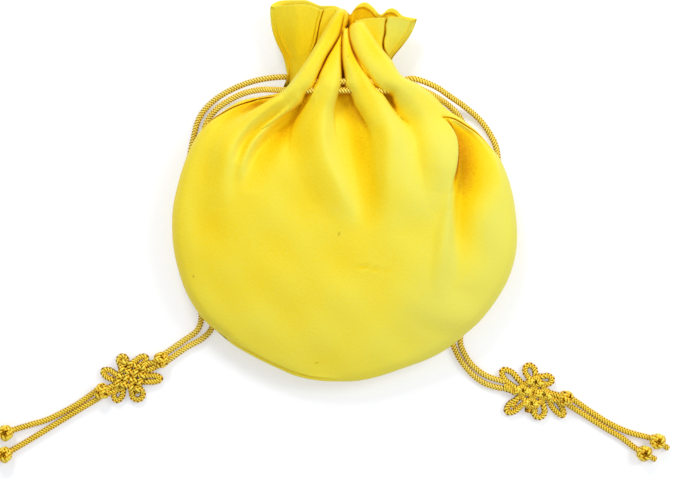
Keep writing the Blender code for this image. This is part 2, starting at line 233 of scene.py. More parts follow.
def add_mesh(name: str, points: Array, faces: Array, uv: Array | None = None) -> bpy.types.Object:
    """Puts quads into the scene as a smooth mesh object at the origin.

    Args:
        name: the piece's name.
        points: rows of x, y and z in metres.
        faces: rows of four point numbers.
        uv: one pair per point, for a pattern that follows the surface.

    Returns:
        The object.
    """
    mesh = bpy.data.meshes.new(name)
    mesh.vertices.add(len(points))
    mesh.vertices.foreach_set("co", np.asarray(points, np.float32).ravel())
    mesh.loops.add(faces.size)
    mesh.loops.foreach_set("vertex_index", faces.astype(np.int32).ravel())
    mesh.polygons.add(len(faces))
    mesh.polygons.foreach_set("loop_start", np.arange(0, faces.size, 4, dtype=np.int32))
    mesh.polygons.foreach_set("use_smooth", np.ones(len(faces), bool))
    mesh.update(calc_edges=True)
    if uv is not None:
        layer = mesh.uv_layers.new(name="surface")
        layer.data.foreach_set("uv", np.asarray(uv, np.float32)[faces.ravel()].ravel())
    made = bpy.data.objects.new(name, mesh)
    bpy.context.scene.collection.objects.link(made)
    return made


def mark(piece: bpy.types.Object, name: str, values: Array) -> None:
    """Gives each point of a piece a number that its material reads."""
    layer = piece.data.attributes.new(name, "FLOAT", "POINT")
    layer.data.foreach_set("value", np.asarray(values, np.float32))


def box_mean(z: Array, reach: int, axis: int) -> Array:
    """The mean of each value and its neighbours along one axis of a grid, from the difference
    of two running sums. The edge values are carried on outwards.

    Args:
        z: the grid of values.
        reach: how many neighbours on each side are counted.
        axis: 0 to go up the rows, and 1 across them.

    Returns:
        The grid of means.
    """
    pad = [(0, 0), (0, 0)]
    pad[axis] = (reach + 1, reach)
    sums = np.cumsum(np.pad(z, pad, mode="edge"), axis=axis)
    count = z.shape[axis]
    ends = np.take(sums, range(2 * reach + 1, 2 * reach + 1 + count), axis=axis)
    starts = np.take(sums, range(count), axis=axis)
    return (ends - starts) / (2 * reach + 1)


def grid_faces(rows: int, columns: int, wrapped: bool = False, flipped: bool = False) -> Array:
    """The quads of a grid of points.

    Args:
        rows, columns: how many points the grid has each way.
        wrapped: closes the grid from its last column to its first.
        flipped: turns the faces over.

    Returns:
        Rows of four point numbers.
    """
    number = np.arange(rows * columns).reshape(rows, columns)
    if wrapped:
        number = np.hstack([number, number[:, :1]])
    faces = np.stack([number[:-1, :-1], number[:-1, 1:], number[1:, 1:], number[1:, :-1]], -1)
    faces = faces.reshape(-1, 4)
    return faces[:, ::-1] if flipped else faces


def joined(grids: list[tuple[Array, Array, Array]]) -> tuple[Array, Array, Array]:
    """Several sets of points, faces and uv as one, with the faces' numbers moved on.

    Args:
        grids: the sets.

    Returns:
        All the points, faces and uv.
    """
    starts = np.cumsum([0] + [len(points) for points, _, _ in grids[:-1]])
    return (np.vstack([points for points, _, _ in grids]),
            np.vstack([faces + start for (_, faces, _), start in zip(grids, starts)]),
            np.vstack([uv for _, _, uv in grids]))


def linear(code: str) -> tuple[float, float, float, float]:
    """An sRGB hex colour as linear red, green, blue and alpha."""
    parts = [int(code[k:k + 2], 16) / 255 for k in (1, 3, 5)]
    return tuple(c / 12.92 if c <= 0.04045 else ((c + 0.055) / 1.055) ** 2.4
                 for c in parts) + (1.0,)


def add_node(tree: bpy.types.NodeTree, kind: str, settings: dict | None = None,
             inputs: dict | None = None) -> bpy.types.Node:
    """Adds a shader node.

    Args:
        tree: the material's tree.
        kind: the node's type, without ShaderNode.
        settings: the node's own properties.
        inputs: values, or sockets to link, by the input's name or number.

    Returns:
        The node.
    """
    node = tree.nodes.new("ShaderNode" + kind)
    for key, value in (settings or {}).items():
        setattr(node, key, value)
    for key, value in (inputs or {}).items():
        if isinstance(value, bpy.types.NodeSocket):
            tree.links.new(value, node.inputs[key])
        else:
            node.inputs[key].default_value = value
    return node


def fill_ramp(node: bpy.types.Node, stops: list[tuple[float, str]], dim: float = 1.0) -> None:
    """Sets a colour ramp's stops.

    Args:
        node: the ramp's node.
        stops: each a place and an sRGB hex colour, in order.
        dim: a factor on all the colours.
    """
    ramp = node.color_ramp
    while len(ramp.elements) < len(stops):
        ramp.elements.new(0.5)
    for element, (place, code) in zip(ramp.elements, stops):
        element.position = place
        element.color = [part * dim for part in linear(code)[:3]] + [1.0]


def new_material(name: str) -> tuple[bpy.types.Material, bpy.types.NodeTree, bpy.types.Node]:
    """A new material.

    Args:
        name: its name.

    Returns:
        The material, its tree and its Principled shader.
    """
    made = bpy.data.materials.new(name)
    made.use_nodes = True
    return made, made.node_tree, made.node_tree.nodes["Principled BSDF"]


@dataclass(frozen=True)
class SilkSatin:
    """Silk satin, woven with long floats: a soft broad gloss along the threads, and a clear
    lemon yellow whose base colour is painted paler on open cloth, painted light and sheen, and
    deeper gold to brown in folds and creases, painted shade.

    The attribute tone runs from 0 on pale cloth past 1 in a fold's depth to 2 in a tight crease:
    its low end is painted light and its high end painted shade.
    thread is the spacing of the weave's ribs, drawn three times coarser than real silk so that
    it shows, grain the size of its fine mottle, and cloud that of its slow changes of colour.
    fine_share and slow_share say how far each moves the tone, which runs over span in all.
    dim darkens the whole cloth as painted shade, and crinkle is how strongly it is creased. The
    creases are as wide as crinkle_size, and longer along the pouch, as crinkle_stretch squeezes
    their pattern.
    """

    name: str = "woven silk satin, lemon yellow"
    # The tones' pale end is painted light and sheen, and their deep end painted shade
    tones: tuple = ((0.0, "#F3EC66"), (0.3, "#FBEC50"), (0.55, "#FFE536"), (0.75, "#FFDC1E"),
                    (0.95, "#FFD408"), (1.15, "#EEBA04"), (1.4, "#DC9804"), (1.9, "#AC5A06"))
    slub: str = "#B89A1E"
    dim: float = 1.0
    roughness: float = 0.48
    specular: float = 0.3
    tint: str = "#FFE878"
    sheen: float = 0.05
    sheen_roughness: float = 0.45
    sheen_tint: str = "#FFF0A0"
    thread: float = 0.35 * MM
    grain: float = 0.8 * MM
    cloud: float = 16 * MM
    fine_share: float = 0.32
    slow_share: float = 0.16
    span: float = 2.2
    crinkle: float = 0.0
    crinkle_size: float = 1.6 * MM
    crinkle_stretch: tuple = (1.0, 0.28, 1.0)

    def build(self) -> bpy.types.Material:
        """Makes the material. Its colour is read from the tones at the attribute plus each noise
        times its share, all over the span. A noise is 0.5 on average, so the tones' places move
        on by half of both shares.

        Returns:
            The material.
        """
        made, tree, shader = new_material(self.name)
        where = add_node(tree, "TexCoord").outputs["Object"]
        slow = add_node(tree, "TexNoise", {}, {"Vector": where, "Scale": 1 / self.cloud,
                                               "Detail": 3.0, "Roughness": 0.55})
        tone = add_node(tree, "Attribute", {"attribute_name": "tone"})
        cloudy = add_node(tree, "Math", {"operation": "MULTIPLY_ADD"},
                          {0: slow.outputs["Fac"], 1: self.slow_share, 2: tone.outputs["Fac"]})
        grain = add_node(tree, "TexNoise", {}, {"Vector": where, "Scale": 1 / self.grain,
                                                "Detail": 2.0})
        speckled = add_node(tree, "Math", {"operation": "MULTIPLY_ADD"},
                            {0: grain.outputs["Fac"], 1: self.fine_share,
                             2: cloudy.outputs[0]})
        place = add_node(tree, "Math", {"operation": "DIVIDE"},
                         {0: speckled.outputs[0], 1: self.span})
        colour = add_node(tree, "ValToRGB", {}, {"Fac": place.outputs[0]})
        mean = (self.slow_share + self.fine_share) / 2
        fill_ramp(colour, [((at + mean) / self.span, code) for at, code in self.tones], self.dim)
        fleck = add_node(tree, "Attribute", {"attribute_name": "slub"})
        painted = add_node(tree, "Mix", {"data_type": "RGBA"},
                           {0: fleck.outputs["Fac"], 6: colour.outputs["Color"],
                            7: linear(self.slub)})
        tree.links.new(painted.outputs[2], shader.inputs["Base Color"])
        gloss = add_node(tree, "MapRange", {},
                         {"Value": grain.outputs["Fac"], "From Min": 0.3, "From Max": 0.7,
                          "To Min": self.roughness - 0.05, "To Max": self.roughness + 0.05})
        tree.links.new(gloss.outputs[0], shader.inputs["Roughness"])
        weave = add_node(tree, "TexWave", {"bands_direction": "DIAGONAL"},
                         {"Vector": where, "Scale": WAVE_PERIOD / self.thread, "Distortion": 1.2,
                          "Detail": 1.0, "Detail Scale": 2.0})
        bump = add_node(tree, "Bump", {}, {"Height": weave.outputs["Fac"], "Strength": 0.06,
                                           "Distance": 0.1 * MM})
        last = add_node(tree, "Bump", {}, {"Height": grain.outputs["Fac"], "Strength": 0.3,
                                           "Distance": 0.3 * MM, "Normal": bump.outputs[0]})
        if self.crinkle:
            stretched = add_node(tree, "Mapping", {},
                                 {"Vector": where, "Scale": self.crinkle_stretch})
            creases = add_node(tree, "TexNoise", {},
                               {"Vector": stretched.outputs[0], "Scale": 1 / self.crinkle_size,
                                "Detail": 3.0, "Roughness": 0.6})
            last = add_node(tree, "Bump", {}, {"Height": creases.outputs["Fac"],
                                               "Strength": self.crinkle, "Distance": 0.8 * MM,
                                               "Normal": last.outputs[0]})
        tree.links.new(last.outputs[0], shader.inputs["Normal"])
        shader.inputs["Specular IOR Level"].default_value = self.specular
        shader.inputs["Specular Tint"].default_value = linear(self.tint)
        shader.inputs["Sheen Weight"].default_value = self.sheen
        shader.inputs["Sheen Roughness"].default_value = self.sheen_roughness
        shader.inputs["Sheen Tint"].default_value = linear(self.sheen_tint)
        return made


@dataclass(frozen=True)
class BraidedSilk:
    """Round-braided rayon silk, golden yellow: each strand's crown is painted bright, a painted
    highlight beside the shader's own gloss, and the gaps between strands are painted deep
    gold, painted shade.

    The attribute crown runs from 0 in a gap to 1 on a crown, and stops are where on it the gap's,
    the flank's and the crown's colours lie: the gap's is painted shade and the crown's a painted
    highlight. filament is the spacing of the fine filaments drawn on each strand, and cloud the
    size of the slow changes of colour.
    """

    name: str = "round braided cord, golden"
    # The crown's colour is a painted highlight and the gap's painted shade
    crown: str = "#FFF27A"
    flank: str = "#FABE10"
    gap: str = "#3E1C00"
    stops: tuple = (0.43, 0.67, 0.94)
    roughness: float = 0.28
    specular: float = 0.75
    tint: str = "#FFD648"
    filament: float = 0.16 * MM
    cloud: float = 4 * MM
    cloud_share: float = 0.2

    def build(self) -> bpy.types.Material:
        """Makes the material. Its colour is read from the gap's to the crown's at the attribute
        plus the slow noise times its share.

        Returns:
            The material.
        """
        made, tree, shader = new_material(self.name)
        relief = add_node(tree, "Attribute", {"attribute_name": "crown"})
        where = add_node(tree, "TexCoord").outputs["Object"]
        slow = add_node(tree, "TexNoise", {}, {"Vector": where, "Scale": 1 / self.cloud,
                                               "Detail": 2.0})
        shade = add_node(tree, "Math", {"operation": "MULTIPLY_ADD"},
                         {0: slow.outputs["Fac"], 1: self.cloud_share,
                          2: relief.outputs["Fac"]})
        colour = add_node(tree, "ValToRGB", {}, {"Fac": shade.outputs[0]})
        fill_ramp(colour, list(zip(self.stops, (self.gap, self.flank, self.crown))))
        tree.links.new(colour.outputs["Color"], shader.inputs["Base Color"])
        uv = add_node(tree, "UVMap", {"uv_map": "surface"}).outputs[0]
        threads = add_node(tree, "TexWave", {"bands_direction": "DIAGONAL"},
                           {"Vector": uv, "Scale": WAVE_PERIOD / self.filament,
                            "Distortion": 0.6})
        bump = add_node(tree, "Bump", {}, {"Height": threads.outputs["Fac"], "Strength": 0.25,
                                           "Distance": 0.06 * MM})
        tree.links.new(bump.outputs[0], shader.inputs["Normal"])
        shader.inputs["Roughness"].default_value = self.roughness
        shader.inputs["Specular IOR Level"].default_value = self.specular
        shader.inputs["Specular Tint"].default_value = linear(self.tint)
        return made


@dataclass(frozen=True)
class Fold:
    """A ridge, or with a negative height a valley, that runs along a line of marks.

    Each mark is (column, line, width on the left, width on the right, height, roundness): the
    place and the widths in pixels, the height in millimetres, and a roundness of 1 for a tube's
    round section and 0 for a soft wave. The line runs down the picture.
    """

    marks: tuple
    power: float = 2.6

    def height(self, xy: Array) -> Array:
        """Its height at each point. With q the distance from the line over the width there, it
        is the wave (1 + cos(pi q)) / 2 or the full, round (1 - q ^ power) ^ (1 / power), mixed
        by the roundness.

        Args:
            xy: points, as rows of x and y.

        Returns:
            One height for each point, in metres.
        """
        marks = np.array(self.marks, float)
        line = mark_line(marks)
        chosen = close_to(xy, line, marks[:, 2:4].max() * PIXEL)
        place, signed, _ = near(xy[chosen], line)
        at = [along_marks(marks, place, k) for k in (2, 3, 4, 5)]
        width = np.maximum(np.where(signed < 0, at[0], at[1]), 1) * PIXEL
        q = np.clip(np.abs(signed) / width, 0, 1)
        soft = (1 + np.cos(np.pi * q)) / 2
        tube = (1 - q**self.power) ** (1 / self.power)
        height = np.zeros(len(xy))
        height[chosen] = at[2] * MM * (soft + (tube - soft) * at[3])
        return height


@dataclass(frozen=True)
class Overlap:
    """An edge where the cloth folds over itself, along a line of marks that runs down the
    picture. Each mark is (column, line, height in mm, overhang in mm).

    high is -1 where the upper layer is on the picture's left, and 1 where it is on its right.
    width is half the fold's own width, and steep the share of it in which the step falls. The
    reaches say how far the lift dies away on each side, and rise is the share of it by which
    the upper layer goes up. The rest takes the lower down.
    """

    marks: tuple
    high: int = -1
    width: float = 1.5 * MM
    reach_high: float = 9 * MM
    reach_low: float = 6 * MM
    rise: float = 0.45
    steep: float = 0.55

    def shift(self, xy: Array) -> tuple[Array, Array]:
        """How far the cloth moves: up on the high side and down on the low one, by a bell curve
        that dies away from the edge, and sideways by -sin(pi q), with q the distance over the
        width, so that the upper layer hangs over.

        Args:
            xy: points, as rows of x and y.

        Returns:
            The lift at each point, and the move sideways as rows of x and y, in metres.
        """
        marks = np.array(self.marks, float)
        line = mark_line(marks)
        place, signed, aside = near(xy, line)
        height, hang = along_marks(marks, place, 2) * MM, along_marks(marks, place, 3) * MM
        s = signed * -self.high
        q = np.clip(s / self.width, -1, 1)
        fall = 1 - smooth((q + self.steep) / (2 * self.steep))
        up = self.rise * np.exp(-(np.minimum(s, 0) / self.reach_high) ** 2)
        down = (1 - self.rise) * np.exp(-(np.maximum(s, 0) / self.reach_low) ** 2)
        lift = height * (fall * up - (1 - fall) * down)
        ends = np.minimum(place, len(line) - 1 - place) > 1e-6
        sideways = -np.sin(np.pi * q) * hang * -self.high * ends
        return lift, aside * sideways[:, None]


@dataclass(frozen=True)
class Groove:
    """A seam or a crease: a narrow sunk line, with the cloth raised on both sides of it.

    The marks are (column, line, depth in mm). welt is how high the raised cloth is for a depth
    of 1, and spread how much wider. shade is how much the tone grows with a millimetre of depth,
    painted shade in the groove.
    """

    marks: tuple
    width: float = 0.28 * MM
    welt: float = 0.25
    shade: float = 0.9
    spread: float = 3.2

    def height(self, xy: Array) -> tuple[Array, Array]:
        """A bell curve exp(-q ^ 2) down along the line, and a wider, lower one up, with q the
        distance from the line over the width.

        Args:
            xy: points, as rows of x and y.

        Returns:
            Its height at each point in metres, and how deep it is there in millimetres.
        """
        marks = np.array(self.marks, float)
        line = mark_line(marks)
        chosen = close_to(xy, line, GROOVE_REACH * self.width)
        place, signed, _ = near(xy[chosen], line)
        q = signed / self.width
        height, depth = np.zeros(len(xy)), np.zeros(len(xy))
        depth[chosen] = along_marks(marks, place, 2) * np.exp(-q * q)
        height[chosen] = along_marks(marks, place, 2) * MM * (
            self.welt * np.exp(-(q / self.spread) ** 2) - (1 + self.welt) * np.exp(-q * q))
        return height, depth


# The body's outline from the bottom's corners up, in pixels, left and right at matching heights.
# The rest of each panel's outline follows on from it, up to the mouth.
BODY_LEFT = [(226, 338), (204, 320), (188, 296), (179, 272), (173, 244), (172.5, 212),
             (178, 184), (185.5, 160), (194.5, 140), (206, 124.5), (222, 112.5), (241, 101.5),
             (262, 97)]
BODY_RIGHT = [(462, 337), (481, 320), (499, 296), (511, 272), (517, 244), (515.5, 212),
              (510, 184), (500.5, 160), (489, 145), (476, 130.5), (462, 119.6), (446, 109),
              (433, 96)]
BODY_BOTTOM = [(226, 338), (232, 344), (246, 352.5), (261, 360.5), (277, 368), (296, 376),
               (318, 380.5), (340, 381.5), (360, 380.5), (380, 376), (404, 368), (426, 360),
               (442, 352), (453, 344.5), (462, 337)]
FRONT_LEFT = BODY_LEFT + [(281, 93), (293, 81), (306, 62), (315.5, 46), (325, 28), (335.5, 12)]
FRONT_RIGHT = BODY_RIGHT + [(418, 85.5), (401, 77), (391.5, 62), (381, 49), (372, 36), (364, 23)]
FRONT_TOP = [(335.5, 12), (340, 9.5), (346, 11), (350, 17), (348, 24), (346, 29), (348, 27.5),
             (352, 24.5), (358, 22), (364, 23)]

# The ridges that run down from the collar. Where two of them meet, the higher one holds.
RIDGES = (
    # the left ridge, from the collar down to its end in the body's left half
    Fold(((344, 8, 8, 6, 4.5, 1), (338, 24, 9, 9, 6.5, 1), (328.5, 42, 10, 10.5, 7.8, 1),
          (316.5, 60, 11, 12, 8.8, 1), (304, 80, 12.5, 14.5, 9.2, 1),
          (297, 88, 12.5, 13.5, 8.9, 1), (291, 94, 12.5, 16, 8.4, 1),
          (284, 100.5, 12.5, 14.5, 7.3, 0.95), (264, 114, 15, 14, 4.8, 0.7),
          (247, 127, 18, 13, 3.2, 0.4), (235, 143, 21, 13, 2.4, 0.1),
          (228, 162, 22, 14, 1.8, 0), (225, 182, 22, 15, 1.1, 0), (226, 208, 22, 16, 0, 0))),
    # the second ridge, with its crest near its right edge
    Fold(((340.5, 32, 5, 3, 4.5, 1), (338, 45, 8, 5, 6.0, 1), (335, 59, 10.5, 8, 7.4, 1),
          (332, 74, 14, 11, 8.4, 1), (330, 87, 14.5, 11.5, 8.8, 1), (327, 97, 18, 11, 7.8, 1),
          (323, 110, 22, 12, 6.0, 0.8), (321.5, 126, 28, 13.5, 4.6, 0.5),
          (323, 146, 33, 15, 3.4, 0.15), (328, 166, 34, 16, 2.7, 0), (335, 184, 32, 16, 2.2, 0),
          (342, 200, 28, 15, 1.6, 0), (348, 214, 24, 14, 0.8, 0), (353, 232, 20, 14, 0, 0))),
    # the third ridge, which rises between the two gaps
    Fold(((345, 26, 3, 3, 4.0, 1), (346, 43, 5.5, 5, 5.8, 1), (349.5, 60, 9, 7.5, 7.0, 1),
          (355.5, 74, 12.5, 10.5, 8.2, 1), (359.5, 82, 16.5, 11, 8.6, 1),
          (363, 89.5, 14.5, 11, 8.5, 1), (369, 98, 17.5, 10.5, 7.8, 1),
          (377, 108, 19, 12, 6.6, 0.95), (385, 121, 20, 13, 5.0, 0.75),
          (389, 137, 20, 22, 3.8, 0.35), (390, 157, 20, 34, 2.8, 0.1),
          (390, 180, 22, 44, 1.9, 0), (392, 205, 26, 48, 0.9, 0), (394, 232, 26, 48, 0, 0))),
    # the right ridge, which spreads into the body's right half
    Fold(((357, 21, 9, 8, 5.0, 1), (363.5, 38, 16, 14, 7.4, 1), (373, 56, 20, 17, 8.4, 1),
          (385, 72, 21, 17, 9.0, 1), (393.5, 81.5, 18.5, 19, 9.0, 1),
          (399.5, 87.5, 14, 20, 8.6, 1), (405, 93, 17, 22, 7.6, 0.95),
          (414, 102, 22, 27, 5.4, 0.7), (424, 116, 20, 30, 3.2, 0.4), (431, 134, 24, 28, 2.0, 0),
          (436, 158, 28, 20, 1.4, 0), (438, 185, 28, 16, 0.8, 0), (438, 215, 28, 16, 0, 0))),
)

# The hollows between and beside them, with their depths in place of heights
HOLLOWS = (
    # the deep golden hollow in the middle
    Fold(((340, 99, 7, 9, 0, 0), (344, 111, 11, 13, 1.2, 0), (349, 129, 15, 20, 2.0, 0),
          (353, 149, 18, 25, 2.4, 0), (357, 170, 19, 27, 2.3, 0), (362, 190, 19, 26, 1.8, 0),
          (367, 208, 18, 24, 1.0, 0), (372, 230, 16, 20, 0, 0))),
    # the left ridge's crease
    Fold(((300, 92, 8, 7, 0, 0), (289, 106, 9, 6, 1.2, 0), (275, 117, 9, 6, 2.0, 0),
          (261, 128, 9, 6, 2.0, 0), (250, 139, 8, 6, 1.6, 0), (243, 151, 8, 7, 0.9, 0),
          (239, 166, 8, 7, 0, 0))),
    # the wide hollow between it and the second ridge
    Fold(((306, 106, 8, 12, 0.8, 0), (291, 120, 8, 16, 2.0, 0), (277, 131, 8, 20, 2.6, 0),
          (265, 144, 8, 24, 2.5, 0), (257, 158, 9, 26, 1.8, 0), (252, 174, 10, 25, 1.0, 0),
          (248, 194, 11, 24, 0, 0))),
    # the pocket under the left shoulder's seam
    Fold(((274, 100, 6, 6, 0.8, 0), (259, 106.5, 9, 7, 2.2, 0), (246, 112, 10, 8, 1.8, 0),
          (232, 119, 10, 9, 0.6, 0), (220, 127, 9, 8, 0, 0))),
    # the hollow right of the third ridge
    Fold(((382, 88, 6, 10, 0, 0), (390, 100, 7, 15, 1.0, 0), (398, 111, 8, 18, 0.8, 0),
          (408, 121, 10, 18, 0.4, 0), (420, 130, 12, 16, 0, 0))),
    # the deep slope right of the shoulder's tuck, which runs on down the right side
    Fold(((451, 122, 4, 16, 0, 0), (457, 134, 5, 28, 2.6, 0), (460.5, 150, 6, 36, 3.4, 0),
          (460, 168, 7, 38, 3.4, 0), (458.5, 187, 8, 38, 2.9, 0), (457.5, 208, 11, 36, 2.3, 0),
          (457.5, 232, 13, 34, 1.8, 0), (458, 256, 14, 32, 1.0, 0), (459, 284, 14, 30, 0, 0))),
    # the slack along the left side
    Fold(((206, 150, 14, 20, 0, 0), (202, 180, 16, 26, 0.35, 0), (202, 214, 18, 30, 0.5, 0),
          (207, 250, 18, 30, 0.45, 0), (219, 288, 18, 28, 0.2, 0), (238, 320, 14, 22, 0, 0))),
)

# Low ridges that are added to the ground below them
SOFT_RIDGES = (
    # the small ridge between the left ridge's crease and the wide hollow
    Fold(((296, 108, 5, 7, 0, 0), (284, 117, 6, 7, 0.8, 0), (270, 127, 7, 7, 1.2, 0),
          (257, 139, 8, 8, 1.3, 0), (249, 151, 8, 9, 1.1, 0), (244, 165, 8, 9, 0.7, 0),
          (241, 182, 8, 9, 0, 0))),
    # the slim ridge down from the tuck's end
    Fold(((454, 178, 7, 8, 0, 0), (449, 200, 9, 12, 0.8, 0), (443, 226, 10, 15, 1.1, 0),
          (439, 252, 10, 16, 1.0, 0), (437, 276, 10, 16, 0.6, 0), (438, 298, 10, 14, 0, 0))),
    # the low crest that ends the light slope at the lower right
    Fold(((376, 252, 22, 24, 0, 0), (398, 279, 24, 32, 0.4, 0), (421, 302, 24, 36, 0.7, 0),
          (446, 315, 22, 36, 0.8, 0), (472, 314, 18, 28, 0.5, 0), (494, 300, 12, 18, 0, 0))),
)

# Where the cloth folds over itself
OVERLAPS = (
    # the tuck at the right shoulder
    Overlap(((438.5, 117.5, 0.3, 0), (444, 122.5, 2.4, 0.5), (449, 130, 4.0, 0.9),
             (453.4, 141, 4.8, 1.1), (454.6, 155, 4.6, 1.0), (453.2, 170, 3.8, 0.8),
             (451, 182, 2.2, 0.4), (448.5, 196, 0.6, 0)), -1, width=1.0 * MM),
    # the left ridge's edge over the pocket
    Overlap(((282, 96, 0.3, 0.1), (273, 101.5, 1.8, 0.5), (262, 107, 2.0, 0.5),
             (251, 112.5, 1.1, 0.2), (242, 118, 0, 0)), 1, reach_high=5 * MM, reach_low=3 * MM),
    # the third ridge's edge over the hollow at its right
    Overlap(((377, 86, 0.2, 0.1), (382, 95, 0.7, 0.3), (388, 105, 0.6, 0.2),
             (395, 115.5, 0.4, 0.1), (401, 124, 0, 0)), -1, reach_high=5 * MM,
            reach_low=4 * MM),
    # the second ridge's edge over the orange hollow
    Overlap(((316, 90, 0.2, 0.1), (311, 100, 1.0, 0.4), (305, 109, 1.2, 0.4),
             (299, 118, 0.7, 0.2), (293, 128, 0, 0)), 1, reach_high=5 * MM, reach_low=4 * MM),
)

# Painted shade: where the cloth is painted deeper gold than its shape gives, in the tuck's
# shadow, the pockets and on the collar's ridges, with the tone added in place of a height in
# millimetres
PAINTED_GOLD = (
    # right of the shoulder's tuck and on down
    Fold(((444, 119.5, 2, 3, 0.3, 0.8), (449, 126, 2, 5, 0.7, 0.8),
          (453.5, 134, 2.5, 12, 0.9, 0.85), (456.5, 145, 2.5, 29, 0.9, 0.9),
          (456.5, 160, 2.5, 38, 0.82, 0.9), (455, 175, 2.5, 44, 0.8, 0.8),
          (454, 190, 3, 44, 0.82, 0.6), (455, 208, 8, 44, 0.65, 0.3),
          (457, 230, 10, 38, 0.4, 0), (459, 256, 10, 34, 0.2, 0), (462, 284, 10, 28, 0, 0))),
    # the left ridge's top
    Fold(((343, 18, 12, 12, 0.5, 0), (336, 32, 14, 14, 0.5, 0.2), (325, 48, 14, 14, 0.3, 0.2),
          (310, 70, 14, 14, 0.15, 0), (296, 88, 14, 14, 0, 0))),
    # the second ridge's top
    Fold(((339, 48, 6, 6, 0.3, 0), (331, 66, 9, 9, 0.35, 0), (324, 84, 10, 10, 0.1, 0),
          (318, 100, 10, 10, 0, 0))),
    # the third ridge's golden side
    Fold(((346.5, 44, 5, 5, 0.3, 0), (351, 60, 7, 7, 0.5, 0), (359, 78, 8, 8, 0.3, 0),
          (364, 92, 10, 10, 0.3, 0), (372, 108, 12, 14, 0.25, 0), (378, 124, 12, 14, 0, 0))),
    # the right ridge's top
    Fold(((360, 24, 10, 10, 0.25, 0), (375, 48, 14, 14, 0.35, 0.2), (387, 70, 16, 16, 0.15, 0),
          (396, 88, 16, 16, 0, 0))),
    # the pocket under the left ridge's edge
    Fold(((276, 97, 5, 6, 0.3, 0), (262, 104, 7, 7, 0.6, 0), (248, 109.5, 8, 7, 0.6, 0),
          (232, 117, 9, 8, 0.3, 0), (218, 126, 9, 8, 0, 0))),
)

# The creases where neighbouring ridges press together, and the one along the tuck's edge,
# darkened with painted shade along their grooves
CREASES = (
    Groove(((345, 15, 0.3), (343, 24, 0.9), (339.5, 38, 1.1), (334, 49, 1.1), (327.5, 60, 1.1),
            (322.5, 71, 1.0), (318, 80, 0.7), (315.5, 85, 0.2)), width=0.36 * MM, welt=0.0),
    Groove(((342.5, 28, 0.4), (341.8, 40, 0.8), (341.3, 55, 1.0), (341.6, 68, 1.2),
            (342.3, 78, 1.0), (342.8, 86, 0.5)), width=0.4 * MM, welt=0.0, shade=0.6),
    Groove(((349, 27, 0.4), (348.6, 38, 0.9), (351.5, 51, 1.1), (355.5, 61, 1.1),
            (361.5, 72, 1.1), (367, 79.5, 0.9), (371.5, 84, 0.3)), width=0.36 * MM, welt=0.0),
    Groove(((446.8, 121.2, 0.4), (451.4, 128.7, 0.9), (456.0, 140.3, 1.0), (457.3, 155, 1.0),
            (455.9, 170, 0.9), (453.6, 182, 0.5), (451.0, 193, 0.1)), width=0.34 * MM, welt=0.0,
           shade=1.0),
)

# A faint crease low on the front, and the sewn edge where it shows just inside the outline,
# darkened with painted shade along their grooves
RIM_SEAMS = (
    Groove(((350, 265.5, 0.0), (356, 266, 0.3), (368, 267.5, 0.4), (380, 270, 0.3),
            (393, 270.5, 0.0)), width=0.42 * MM, welt=0.3, shade=0.5),
    Groove(((229, 338, 0.1), (237, 343.6, 0.4), (249, 350.6, 0.5), (263, 358.2, 0.5),
            (279, 365.8, 0.5), (297, 373.2, 0.5), (317, 378.0, 0.45), (336, 379.4, 0.1)),
           width=0.3 * MM, welt=0.4, shade=0.5),
    Groove(((500, 300, 0.1), (494, 308.5, 0.5), (486, 316.4, 0.5), (477, 323.4, 0.4),
            (466, 331.5, 0.1)), width=0.3 * MM, welt=0.5),
)

# The sewn edge along both shoulders, darkened with painted shade along its grooves
SHOULDER_SEAMS = (
    Groove(((279, 98, 0.3), (268, 99.5, 0.8), (253, 102, 0.9), (236, 107.5, 0.9),
            (222, 114.5, 0.9), (211, 121.5, 0.7), (203, 130, 0.3)), width=0.22 * MM, shade=1.5),
    Groove(((441, 118.3, 0.5), (449, 118.8, 0.9), (456.5, 121.2, 0.9), (467.7, 128, 0.9),
            (476, 133.6, 0.9), (483, 140.5, 0.7), (491, 152, 0.3)), width=0.22 * MM,
           shade=1.7),
)

# Where the cloth has a dark slub in its weave, as (column, line, half length, half width, turn)
# in pixels and degrees, and how much of the slub's own colour shows
SLUB_DEPTH = 0.75
SLUBS = ((195, 276, 1.6, 0.6, 12), (255, 249, 0.8, 0.6, 0), (317, 362, 1.7, 0.6, 8),
         (339, 234, 0.8, 0.6, 0), (348, 60, 1.0, 0.8, 30))


def slub_mask(xy: Array) -> Array:
    """How dark the slubs are: exp(-q ^ 4) over each one's long oval, where q is 1 on it.

    Args:
        xy: points, as rows of x and y.

    Returns:
        A number from 0 to SLUB_DEPTH for each point.
    """
    mask = np.zeros(len(xy))
    for column, line, length, width, turn in SLUBS:
        centre = plan(np.array([(column, line)]))[0]
        angle = math.radians(turn)
        along = np.array([math.cos(angle), math.sin(angle)])
        rel = xy - centre
        a = rel @ along / (length * PIXEL)
        b = rel @ np.array([-along[1], along[0]]) / (width * PIXEL)
        mask = np.maximum(mask, np.exp(-((a * a + b * b) ** 2)))
    return mask * SLUB_DEPTH


# Heights in millimetres along the pouch, at every LEVEL_STEP of y from -70 to 70 mm: of the side
# seams, and of the front panel's middle without its folds
LEVEL_STEP = 10 * MM
RIM = (7.0, 7.0, 7.0, 7.0, 7.0, 7.0, 7.0, 7.0, 7.0, 7.1, 9.0, 11.2, 9.9, 8.9, 8.3)
CROWN = (9.5, 12.4, 14.6, 16.1, 17.2, 18.1, 18.8, 19.3, 19.3, 18.3, 15.6, 13.4, 12.4, 11.8, 11.4)


def level(table: tuple, y: Array) -> Array:
    """A table of heights read smoothly at y, both in metres."""
    return spline(np.array(table)[:, None] * MM, y / LEVEL_STEP + len(table) // 2)[:, 0]


